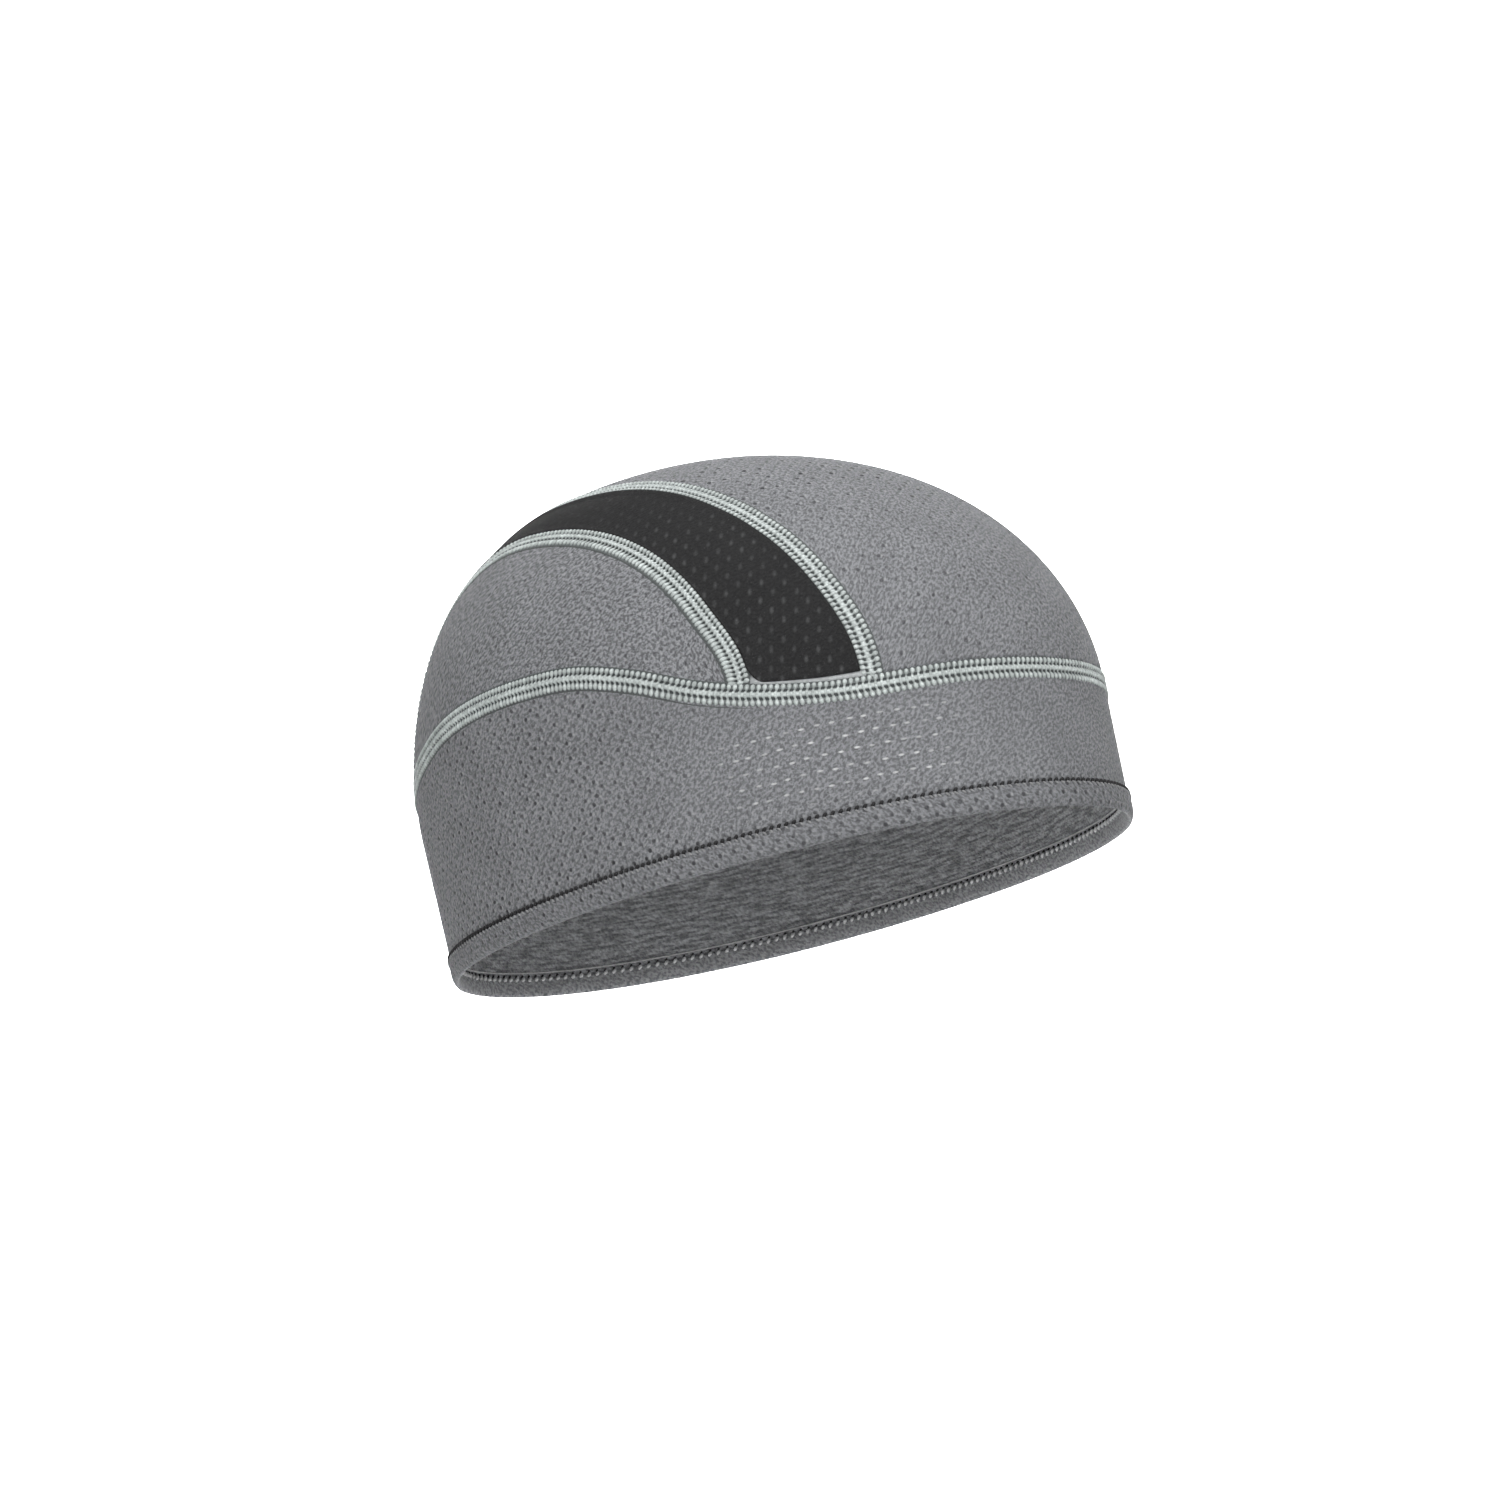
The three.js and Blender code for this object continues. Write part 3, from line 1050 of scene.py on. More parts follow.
@dataclass
class KnitCloth:
    """One knit panel: two faces a cloth's thickness apart, joined all round."""

    form: CapForm
    plan: SeamPlan
    finishes: Finishes
    name: str
    node: str
    cut: Cut
    lattice: Lattice
    rests_on: tuple[str, ...] = ()
    slot: str = "grey_knit"
    outer_finish: str = "side"
    inner_finish: str = "inside"
    thickness: float = 1.1
    pit_depth: float = 0.26
    pit_reach: float = 0.8
    pit_behind: float = 0.5
    openness: float = 0.5
    eyelets_behind: float = 0.35
    dashes_behind: float = 0.45
    margin: float = 1.6

    def outer_grid(self) -> tuple[Array, bool]:
        """Grid of outer surface points, and whether it closes on itself; each cloth has its own."""
        raise NotImplementedError

    def lift(self, grid: Array) -> Array:
        """How far each grid point stands proud of the cap's form."""
        return np.zeros(grid.shape[:2])

    def eyelet_strength(self, grid: Array) -> Array:
        """How open the eyelets are over the cloth, from 0 to 1."""
        return np.full(grid.shape[:2], self.openness)

    def painted_highlight_strength(self, grid: Array) -> Array:
        """How strong the painted highlight dashes are; none unless a cloth says so."""
        return np.zeros(grid.shape[:2])

    def materials(self) -> list[Material]:
        """Outer and inner material."""
        return [getattr(self.finishes, name) for name in (self.outer_finish, self.inner_finish)]

    def build(self) -> list[Thing]:
        """Make the cloth's mesh and put it in place of its plain solid.

        Returns:
            The cloth alone.
        """
        grid, closed = self.outer_grid()
        u, v = self.cloth_map(grid, closed)
        strength = self.eyelet_strength(grid)
        outer, inner = self.faces(grid, u, v, strength)
        height, width = grid.shape[:2]
        front = grid_quads(height, width, closed)
        rim = self.rim_quads(height, width, closed)
        mapped = self.corner_map(u, v)
        dashes_behind = np.full(height * width, self.dashes_behind)
        parts = MeshParts(
            points=np.concatenate([outer.reshape(-1, 3), inner.reshape(-1, 3)]),
            quads=np.concatenate([front[:, ::-1], front + height * width, rim]),
            face_slot=np.concatenate([np.zeros(len(front)), np.ones(len(front)), np.zeros(len(rim))]),
            values={
                "eyelet": np.concatenate([strength.ravel(), self.eyelets_behind * strength.ravel()]),
                # Painted highlight dashes on the outer face, pale specks on the inner face.
                "highlight_and_speck": np.concatenate([self.painted_highlight_strength(grid).ravel(), dashes_behind]),
            },
            cloth=np.concatenate([mapped[:, ::-1], mapped, np.zeros((len(rim), 4, 3))]),
        )
        thing = settle(parts.build(self.name, self.form, self.materials()), (self.node,))
        return [thing]

    def pits(self, u: Array, v: Array) -> Array:
        """Mark the one grid point that lies nearest to each eyelet's centre.

        Args:
            u: Cloth distance across.
            v: Cloth distance along.

        Returns:
            1 at the marked points and 0 elsewhere.
        """
        row, column, away = self.lattice.centres(u, v)
        order = np.argsort(away, axis=None)
        _, first = np.unique((row * ROW_NUMBER + column).ravel()[order], return_index=True)
        nearest = order[first]
        pit = np.zeros(away.size)
        pit[nearest] = away.ravel()[nearest] < self.pit_reach
        return pit.reshape(away.shape)

    def faces(self, grid: Array, u: Array, v: Array, strength: Array) -> tuple[Array, Array]:
        """Points of the outer and the inner face, sunk at the eyelets.

        Args:
            grid: Points on the cap's form.
            u: Cloth distance across, one column wider than the grid where it closes.
            v: Cloth distance along.
            strength: How open the eyelets are.

        Returns:
            Outer and inner points.
        """
        width = grid.shape[1]
        pit = self.pits(u[:, :width], v[:, :width])
        step = max(FINEST_STEP, float(np.abs(np.diff(v[:, 0])).mean()))
        edge = math.ceil(self.margin / step)
        pit[:edge] = pit[-edge:] = 0
        normal, rise = self.form.normal(grid), self.lift(grid)
        sunk = self.pit_depth * pit * strength
        outer = grid + normal * (rise - sunk)[..., None]
        behind = self.back_rise(grid, rise) + self.pit_behind * sunk
        return outer, grid + normal * behind[..., None]

    def back_rise(self, grid: Array, rise: Array) -> Array:
        """Height of the inner face at each grid point."""
        return rise - self.thickness

    def cloth_map(self, grid: Array, closed: bool) -> tuple[Array, Array]:
        """Cloth distances of the grid points.

        Args:
            grid: Points on the cap's form.
            closed: True where the cloth closes on itself; its map then has one more column.

        Returns:
            Distances along the rows of eyelets and across them.
        """
        if not closed:
            return arc_lengths(grid, 1), arc_lengths(grid, 0)
        wide = np.concatenate([grid, grid[:, :1]], axis=1)
        walked = arc_lengths(wide[grid.shape[0] // 2][None], 1)[0]
        walked = walked - walked[0]
        whole = round(walked[-1] / self.lattice.along) * self.lattice.along
        u = np.broadcast_to(walked / walked[-1] * whole, wide.shape[:2])
        v = arc_lengths(wide, 0)
        return u, v - v[:1]

    @staticmethod
    def corner_map(u: Array, v: Array) -> Array:
        """Cloth positions of the corners of the grid's quads."""
        flat = np.stack([u, v, 0 * u], axis=-1).reshape(-1, 3)
        return flat[grid_quads(u.shape[0], u.shape[1], False)]

    @staticmethod
    def rim_quads(height: int, width: int, closed: bool) -> Array:
        """Quads that join the two faces along the grid's border.

        Args:
            height: Rows of the grid.
            width: Columns of the grid.
            closed: True where the cloth closes on itself.

        Returns:
            Corner numbers, one row for each quad.
        """
        count = height * width
        bottom = np.arange(width)
        top = (height - 1) * width + np.arange(width)
        if closed:
            runs = [np.append(bottom, bottom[0]), np.append(top, top[0])[::-1]]
        else:
            right = np.arange(height) * width + width - 1
            left = (np.arange(height) * width)[::-1]
            runs = [np.concatenate([bottom, right[1:], top[::-1][1:], left[1:]])]
        quads = [np.stack([run[:-1], run[1:], run[1:] + count, run[:-1] + count], axis=-1) for run in runs]
        return np.concatenate(quads)


def settle(thing: Thing, nodes: tuple[str, ...]) -> Thing:
    """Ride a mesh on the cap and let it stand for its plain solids.

    Args:
        thing: The new mesh object.
        nodes: Plain solids that it replaces.

    Returns:
        The same object.
    """
    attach(thing, BODY)
    if nodes:
        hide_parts(*nodes)
    return thing


@dataclass
class Band(KnitCloth):
    """Broad band between the hem and the band's seam."""

    seam_reach: float = 2.7
    foot: float = 4.5
    fold_top: float = 5.7
    tuck: float = 0.7
    tuck_from: float = 6.8
    thinning: float = 0.16
    least_open: float = 0.22
    open_at_ears: float = 0.6
    ears: Pair = (52, 86)
    open_at_hem: float = 0.3
    near_hem: Pair = (14, 8)
    # Where the painted highlight dashes fade in and out, by angle and by height.
    dashes_start: Pair = (16, 28)
    dashes_end: Pair = (66, 50)
    dashes_low: Pair = (8, 13)
    dashes_high: Pair = (33, 28)
    outer_finish: str = "band"
    columns: int = 650
    rows: int = 52

    def outer_grid(self) -> tuple[Array, bool]:
        """Rings of points from the hem up to the seam, which start and end at the nape.

        Returns:
            The grid, and True because it closes.
        """
        angles = np.linspace(-np.pi, np.pi, self.columns, endpoint=False)
        top = self.plan.beside(self.plan.band_seam, -self.seam_reach)(angles)
        share = np.linspace(0, 1, self.rows + 1)[:, None]
        heights = self.foot + (top[:, 2] - self.foot) * share
        return self.form.wall(np.broadcast_to(self.form.angle_of(top), heights.shape), heights), True

    def lift(self, grid: Array) -> Array:
        """Tuck the lower edge in between the two layers of the hem's fold."""
        return -self.tuck * smooth(grid[..., 2], self.tuck_from, self.fold_top)

    def back_rise(self, grid: Array, rise: Array) -> Array:
        """The inner face runs on level and thins into the fold."""
        return -self.thickness + self.thinning * smooth(grid[..., 2], self.fold_top, self.foot)

    def cloth_map(self, grid: Array, closed: bool) -> tuple[Array, Array]:
        """Cloth distances counted from the top of the hem's fold."""
        u, v = super().cloth_map(grid, closed)
        return u, v - (self.fold_top - self.foot)

    def eyelet_strength(self, grid: Array) -> Array:
        """Open over the ears and near the hem, nearly shut over the temples.

        Args:
            grid: Points on the cap's form.

        Returns:
            One value for each grid point.
        """
        angle = np.abs(np.degrees(self.form.angle_of(grid)))
        at_ears = self.open_at_ears * smooth(angle, *self.ears)
        at_hem = self.open_at_hem * smooth(grid[..., 2], *self.near_hem)
        return np.clip(self.least_open + at_ears + at_hem, 0, 1)

    def painted_highlight_strength(self, grid: Array) -> Array:
        """Painted highlight dashes over the temples, between the forehead and the ears.

        Args:
            grid: Points on the cap's form.

        Returns:
            One value for each grid point.
        """
        angle = np.abs(np.degrees(self.form.angle_of(grid)))
        window = smooth(angle, *self.dashes_start) * smooth(angle, *self.dashes_end)
        height = grid[..., 2]
        return window * smooth(height, *self.dashes_low) * smooth(height, *self.dashes_high)


@dataclass
class TopPanel(KnitCloth):
    """Broad panel over the crown between the two strips."""

    seam_reach: float = 2.3
    foot_reach: float = 2.7
    openness: float = 0.6
    wide_open: Pair = (78, 104)
    outer_finish: str = "top"
    counts: tuple[int, int] = (290, 122)

    def outer_grid(self) -> tuple[Array, bool]:
        """Grid from the forehead to the nape and from right to left.

        Returns:
            The grid, and False because it is open.
        """
        seams = [self.plan.strip_seam(Edge.INNER, side) for side in Side]
        moved = [self.plan.beside(seam, self.seam_reach * side.value) for seam, side in zip(seams, Side)]
        right, left = (self.plan.clip(line, self.foot_reach) for line in moved)
        return crown_grid(self.plan, right, left, lambda t: self.foot_reach + 0 * t, self.counts), False

    def eyelet_strength(self, grid: Array) -> Array:
        """Open at the top of the crown, half shut lower down."""
        return self.openness + (1 - self.openness) * smooth(grid[..., 2], *self.wide_open)


def crown_grid(
    plan: SeamPlan, left: Line, right: Line, clearance: Callable[[Array], Array], counts: tuple[int, int]
) -> Array:
    """Grid of surface points between two lines over the crown, down to the band's seam.

    Args:
        plan: Where the seams run.
        left: Line at the grid's first column, already clipped to the band's seam.
        right: Line at its last column.
        clearance: Height of the forehead edge over the band seam's middle line, by share across.
        counts: Steps along and across.

    Returns:
        Grid of points, rows by columns by three.
    """
    zero, one = np.array(0.0), np.array(1.0)
    first = plan.over_seam_edge(left(zero), right(zero), clearance)
    last = plan.over_seam_edge(left(one), right(one), lambda t: clearance(0.5 + 0 * t))
    return plan.span(left, right, first, last, counts)


@dataclass
class SidePanel(KnitCloth):
    """Panel below a strip, over the crest of the band's seam."""

    side: Side = Side.RIGHT
    seam_reach: float = 2.3
    foot_reach: float = 2.7
    tip_clearance: float = 0.6
    counts: tuple[int, int] = (150, 52)

    def outer_grid(self) -> tuple[Array, bool]:
        """Grid from the front tip to the back tip and from the strip down to the band.

        Returns:
            The grid, and False because it is open.
        """
        outer = self.plan.strip_seam(Edge.OUTER, self.side)
        moved = self.plan.beside(outer, -self.seam_reach * self.side.value)
        upper = self.plan.clip(moved, self.foot_reach + self.tip_clearance)
        start, end = (float(self.form.angle_of(upper(np.array(t)))) for t in (0.0, 1.0))
        foot = self.plan.beside(self.plan.band_seam, self.foot_reach)

        def lower(t: Array) -> Array:
            """Points of the edge over the band's seam at t."""
            return foot(start + (end - start) * np.asarray(t, float))

        def tip(at: float) -> Line:
            """Short edge between the two long ones at one end."""
            a, b = upper(np.array(at)), lower(np.array(at))
            return lambda t: self.form.onto(a + (b - a) * np.asarray(t, float)[:, None])

        return self.plan.span(upper, lower, tip(0.0), tip(1.0), self.counts), False


@dataclass
class MeshStrip(KnitCloth):
    """Dark mesh strip between its two seams, its forehead corner rounded."""

    side: Side = Side.RIGHT
    seam_reach: float = 2.75
    foot_reach: float = 3.0
    foot_slope: float = 1.1
    corner: float = 3.5
    edge_lift: float = 0.4
    middle_lift: float = 0.1
    lifted_edge: Pair = (2.8, 1.0)
    clear_edge: Pair = (1.0, 3.5)
    fewest_dots: float = 0.1
    dotted_part: Pair = (112, 78)
    slot: str = "black_mesh"
    outer_finish: str = "mesh"
    inner_finish: str = "mesh_inside"
    counts: tuple[int, int] = (240, 34)

    def outer_grid(self) -> tuple[Array, bool]:
        """Grid from the forehead to the nape and from the inner seam to the outer one.

        Returns:
            The grid, and False because it is open.
        """
        shift = self.seam_reach * self.side.value
        inner = self.plan.beside(self.plan.strip_seam(Edge.INNER, self.side), -shift)
        outer = self.plan.beside(self.plan.strip_seam(Edge.OUTER, self.side), shift)
        left = self.plan.clip(inner, self.foot_reach + self.foot_slope)
        right = self.plan.clip(outer, self.foot_reach)
        width = float(np.linalg.norm(left(np.array(0.0)) - right(np.array(0.0))))
        rounded = self.plan.clip(outer, self.foot_reach + self.corner, self.foot_reach)

        def clearance(t: Array) -> Array:
            """Edge height over the seam: a quarter circle at the outer corner.

            Args:
                t: Shares of the way across.

            Returns:
                Heights.
            """
            room = np.clip(self.corner - (1 - t) * width, 0, self.corner)
            level = self.foot_reach + self.foot_slope * (1 - t)
            return level + self.corner - np.sqrt(self.corner**2 - room**2)

        return crown_grid(self.plan, left, rounded, clearance, self.counts), False

    def lift(self, grid: Array) -> Array:
        """Raise the edges over the seams that they cover.

        Args:
            grid: Points on the cap's form.

        Returns:
            One height for each grid point.
        """
        across = arc_lengths(grid, 1)
        along = arc_lengths(grid, 0)
        side = np.minimum(across - across[:, :1], across[:, -1:] - across)
        end = np.minimum(along - along[:1], along[-1:] - along)
        share = smooth(np.minimum(side, end), *self.lifted_edge)
        return self.middle_lift + (self.edge_lift - self.middle_lift) * share

    def cloth_map(self, grid: Array, closed: bool) -> tuple[Array, Array]:
        """Cloth distances of the strip rolled out flat, with level rows of dots at the forehead end.

        Args:
            grid: Points on the cap's form.
            closed: Not used; False, because a strip is open.

        Returns:
            Distances along the rows of dots and across them.
        """
        middle = grid[:, grid.shape[1] // 2]
        run = unit(np.gradient(middle, axis=0))
        normal = self.form.normal(middle)
        left = unit(np.cross(normal, run))
        heading = np.insert(np.cumsum((np.diff(run, axis=0) * left[:-1]).sum(-1)), 0, 0)
        ahead = np.stack([np.cos(heading), np.sin(heading)], axis=-1)
        aside = np.stack([-np.sin(heading), np.cos(heading)], axis=-1)
        steps = np.linalg.norm(np.diff(middle, axis=0), axis=-1)[:, None] * (ahead[1:] + ahead[:-1]) / 2
        base = np.insert(np.cumsum(steps, axis=0), 0, 0, axis=0)
        gap = grid - middle[:, None]
        forward = (gap * run[:, None]).sum(-1)[..., None] * ahead[:, None]
        flat = base[:, None] + forward + (gap * left[:, None]).sum(-1)[..., None] * aside[:, None]
        level = unit(np.cross(self.form.upright(), normal[0]))
        row = (level @ run[0]) * ahead[0] + (level @ left[0]) * aside[0]
        return flat @ unit(row), flat @ unit(np.array([-row[1], row[0]]))

    def eyelet_strength(self, grid: Array) -> Array:
        """Pale dots all over the lower half, fainter toward the crown and the seams.

        Args:
            grid: Points on the cap's form.

        Returns:
            One value for each grid point.
        """
        across = arc_lengths(grid, 1)
        side = np.minimum(across - across[:, :1], across[:, -1:] - across)
        dots = self.fewest_dots + (1 - self.fewest_dots) * smooth(grid[..., 2], *self.dotted_part)
        return smooth(side, *self.clear_edge) * dots


class ProfilePoint(NamedTuple):
    """One point of a section or a stitch: place across and height over the cap's form."""

    across: float
    rise: float


class ThreadPoint(NamedTuple):
    """One point of a stitch: share of the half width across, height, thread radius and shade."""

    across: float
    rise: float
    radius: float
    shade_and_tone: float


RIBBON_SECTION = (
    ProfilePoint(across=-1.12, rise=-0.25),
    ProfilePoint(across=-1.10, rise=0.05),
    ProfilePoint(across=-1.00, rise=0.02),
    ProfilePoint(across=-0.50, rise=0.00),
    ProfilePoint(across=-0.46, rise=-0.36),
    ProfilePoint(across=-0.27, rise=-0.36),
    ProfilePoint(across=-0.23, rise=0.05),
    ProfilePoint(across=-0.12, rise=0.22),
    ProfilePoint(across=0.00, rise=0.27),
)

# Painted shade across the ribbon: grey on the ridge's flanks, black in the grooves and at the edges.
RIBBON_SHADES = (
    (0.0, 0.1),
    (0.12, 0.2),
    (0.21, 0.6),
    (0.24, 1.0),
    (0.48, 1.0),
    (0.52, 0.5),
    (0.95, 0.6),
    (1.0, 1.0),
)

# The stitches' last column is painted shade: darker where they cross a groove and at their ends.
OUTER_STITCH = (
    ThreadPoint(across=-0.05, rise=0.14, radius=0.32, shade_and_tone=0.15),
    ThreadPoint(across=0.10, rise=0.20, radius=0.46, shade_and_tone=0.00),
    ThreadPoint(across=0.22, rise=0.04, radius=0.36, shade_and_tone=0.14),
    ThreadPoint(across=0.36, rise=-0.24, radius=0.32, shade_and_tone=0.38),
    ThreadPoint(across=0.50, rise=-0.03, radius=0.44, shade_and_tone=0.16),
    ThreadPoint(across=0.66, rise=0.12, radius=0.64, shade_and_tone=0.00),
    ThreadPoint(across=0.82, rise=0.04, radius=0.57, shade_and_tone=0.10),
    ThreadPoint(across=0.94, rise=-0.16, radius=0.36, shade_and_tone=0.50),
)

INNER_STITCH = (
    ThreadPoint(across=0.22, rise=0.20, radius=0.26, shade_and_tone=0.30),
    ThreadPoint(across=0.50, rise=0.16, radius=0.32, shade_and_tone=0.10),
    ThreadPoint(across=0.78, rise=0.22, radius=0.38, shade_and_tone=0.10),
    ThreadPoint(across=1.00, rise=-0.05, radius=0.22, shade_and_tone=0.50),
)

GROOVE_SHARE = 0.36


@dataclass(frozen=True)
class SeamWidths:
    """How far a seam reaches to the left and right of its run, and where its grooves and its middle lie."""

    left: float
    right: float
    groove: float
    shift: float = 0.0

    def across(self, share: Array) -> Array:
        """Distance from the seam's line at a share of its width, negative to the right.

        Args:
            share: Shares of the width, from -1 to 1.

        Returns:
            The distances.
        """
        width = np.where(share > 0, self.left, self.right)
        near = np.abs(share) / GROOVE_SHARE
        far = (np.abs(share) - GROOVE_SHARE) / (1 - GROOVE_SHARE)
        reach = np.where(far < 0, near * self.groove, self.groove + far * (width - self.groove))
        return self.shift + np.sign(share) * reach

    @classmethod
    def beside_strip(cls, edge: Edge, side: Side) -> "SeamWidths":
        """Widths of a strip's seam; the outer one reaches further over the side panel.

        Args:
            edge: Which long seam of the strip.
            side: The wearer's side.

        Returns:
            The widths.
        """
        if edge is Edge.INNER:
            return cls(left=2.85, right=2.85, groove=1.15)
        if side is Side.RIGHT:
            return cls(left=3.4, right=2.55, groove=0.95, shift=-0.3)
        return cls(left=2.55, right=3.4, groove=0.95, shift=0.3)


@dataclass
class FlatSeam:
    """Flat seam: a ribbon with a ridge and two grooves, crossed by slanted stitches on both faces."""

    form: CapForm
    plan: SeamPlan
    finishes: Finishes
    name: str
    line: Line
    length: float
    closed: bool
    widths: SeamWidths
    pitch: float = 1.48
    slant: float = 0.62
    flatness: float = 0.66
    unevenness: float = 0.22
    wall: float = 1.15
    inner_relief: float = 0.5
    ribbon_step: float = 1.2
    outer_sides: int = 6
    inner_sides: int = 4
    seed: int = 7

    def build(self) -> list[Thing]:
        """Make the ribbon and its stitches."""
        return [self.ribbon(), self.stitches()]

    def places(self, count: int, shift: float = 0.0) -> Array:
        """Even places along the seam's line.

        Args:
            count: Number of places.
            shift: Shift, as a share of one step.

        Returns:
            The places.
        """
        if self.closed:
            return (np.arange(count) + shift) * 2 * np.pi / count
        return (np.arange(count) + 0.5 + shift) / count

    def offset(self, t: Array, across: Array, rise: Array) -> Array:
        """Points beside the seam's line at a distance across and a height over the form.

        Args:
            t: Places on the line.
            across: Distances to the left.
            rise: Heights over the form.

        Returns:
            The points.
        """
        p, _, left, normal = self.plan.frame_on(self.line, t)
        drop = across**2 / (2 * self.form.half_width)
        return p[:, None] + left[:, None] * across[..., None] + normal[:, None] * (rise - drop)[..., None]

    def ribbon(self) -> Thing:
        """The joined cloth edges and the covering threads between the stitches.

        Returns:
            The ribbon.
        """
        half = list(RIBBON_SECTION)
        outer = half + [ProfilePoint(-q.across, q.rise) for q in reversed(half[:-1])]
        inner = [ProfilePoint(-q.across, -self.wall - self.inner_relief * q.rise) for q in outer]
        share = np.array([q.across for q in outer + inner])
        rise = np.array([q.rise for q in outer + inner])
        count = round(self.length / self.ribbon_step)
        t = self.places(count) if self.closed else np.linspace(0, 1, count)
        shape = (count, len(share))
        across = self.widths.across(share)
        points = self.offset(t, np.broadcast_to(across, shape), np.broadcast_to(rise, shape))
        shade_and_tone = np.interp(np.abs(share), *np.array(RIBBON_SHADES).T)
        quads = grid_quads(count + (1 if self.closed else 0), len(share), True) % (count * len(share))
        if not self.closed:
            quads = np.concatenate([quads, self.end_quads(count, len(share))])
        parts = MeshParts(points, quads, np.zeros(len(quads)), {"shade_and_tone": np.tile(shade_and_tone, count)})
        thing = parts.build(f"{self.name}_ribbon", self.form, [self.finishes.seam])
        return settle(thing, (self.name,))

    @staticmethod
    def end_quads(rows: int, size: int) -> Array:
        """Quads that close the two ends of an open ribbon.

        Args:
            rows: Rows of the ribbon.
            size: Points in one row.

        Returns:
            Corner numbers, one row for each quad.
        """
        half = size // 2
        j = np.arange(half - 1)
        first = np.stack([j, j + 1, size - 2 - j, size - 1 - j], axis=-1)
        return np.concatenate([first[:, ::-1], first + (rows - 1) * size])

    def stitches(self) -> Thing:
        """Slanted stitches over both edges of the ribbon, outside and inside.

        Returns:
            All the seam's stitches.
        """
        count = round(self.length / self.pitch)
        courses = []
        for hand in (-1, 1):
            courses.append(self.course(count, hand, OUTER_STITCH, 1))
            courses.append(self.course(count, hand, INNER_STITCH, -1))
        thing = join_parts(courses).build(f"{self.name}_stitches", self.form, [self.finishes.seam])
        return settle(thing, ())

    def course(self, count: int, hand: int, stitch: tuple[ThreadPoint, ...], face: int) -> MeshParts:
        """One row of stitches.

        Args:
            count: Number of stitches.
            hand: 1 for the left of the seam's run, -1 for the right.
            stitch: The points that each stitch goes through.
            face: 1 for the outside of the cap, -1 for the inside.

        Returns:
            The row's mesh parts.
        """
        lean = np.linspace(0, self.slant / self.pitch, len(stitch))
        rows = []
        for step, point in zip(lean, stitch):
            rise = point.rise if face > 0 else -self.wall - point.rise
            across = np.full((count, 1), self.widths.across(np.array(point.across * hand)))
            rows.append(self.offset(self.places(count, step), across, np.full((count, 1), rise))[:, 0])
        _, _, _, normal = self.plan.frame_on(self.line, self.places(count))
        thread = [(q.radius, q.shade_and_tone) for q in stitch]
        sides = self.outer_sides if face > 0 else self.inner_sides
        # Inner rows take the inward normal, so that their painted shade falls on the side toward the cloth.
        parts = tubes(np.stack(rows, axis=1), normal * face, thread, sides, self.flatness)
        # A random tone for each stitch is added to its painted shade.
        chance = np.random.default_rng(self.seed + hand + 2 * face).random(count) * self.unevenness
        shade_and_tone = parts.values["shade_and_tone"].reshape(count, -1) + chance[:, None]
        parts.values["shade_and_tone"] = np.clip(shade_and_tone, 0, 1).ravel()
        return parts


def tubes(centre: Array, normal: Array, thread: list[Pair], sides: int, flat: float = 1.0) -> MeshParts:
    """Closed tubes along many short courses.

    Args:
        centre: Middle points, stitches by points by three.
        normal: Surface normal at each stitch.
        thread: Radius and shade at each point of a course.
        sides: Sides of the tube, 4 or 6.
        flat: Height of the section as a share of its width.

    Returns:
        Mesh parts of all the tubes.
    """
    stitches, steps = centre.shape[:2]
    radius, shade = np.array(thread).T
    run = unit(np.gradient(centre, axis=1))
    across = unit(np.cross(run, normal[:, None]))
    up = np.cross(across, run) * flat
    turn = np.arange(sides) * 2 * np.pi / sides
    ring = up[:, :, None] * np.cos(turn)[:, None] + across[:, :, None] * np.sin(turn)[:, None]
    points = centre[:, :, None] + ring * radius[None, :, None, None]
    body = grid_quads(steps, sides, True)
    lid = np.array([[0, 1, 2, 3]]) if sides == 4 else np.array([[0, 1, 2, 3], [0, 3, 4, 5]])
    one = np.concatenate([body[:, ::-1], lid, lid[:, ::-1] + (steps - 1) * sides])
    quads = (one[None] + (np.arange(stitches) * steps * sides)[:, None, None]).reshape(-1, 4)
    # Painted shade: each tube is darker on its flanks and underside, away from the normal it is given.
    shade_and_tone = np.clip(shade[:, None] + SIDE_SHADE * (1 - np.cos(turn)), 0, 1)
    shade_and_tone = np.broadcast_to(shade_and_tone, points.shape[:3])
    return MeshParts(points.reshape(-1, 3), quads, np.zeros(len(quads)), {"shade_and_tone": shade_and_tone.ravel()})


def join_parts(parts: list[MeshParts]) -> MeshParts:
    """Join several sets of mesh parts that carry the same point values.

    Args:
        parts: Mesh parts to join.

    Returns:
        The joined parts.
    """
    counts = np.cumsum([0] + [len(p.points.reshape(-1, 3)) for p in parts[:-1]])
    return MeshParts(
        points=np.concatenate([p.points.reshape(-1, 3) for p in parts]),
        quads=np.concatenate([p.quads + n for p, n in zip(parts, counts)]),
        face_slot=np.concatenate([p.face_slot for p in parts]),
        values={key: np.concatenate([p.values[key] for p in parts]) for key in parts[0].values},
    )


PIPING_SECTION = (
    ProfilePoint(across=0.00, rise=-0.6),
    ProfilePoint(across=0.12, rise=0.8),
    ProfilePoint(across=0.50, rise=1.0),
    ProfilePoint(across=0.88, rise=0.8),
    ProfilePoint(across=1.00, rise=-0.6),
)


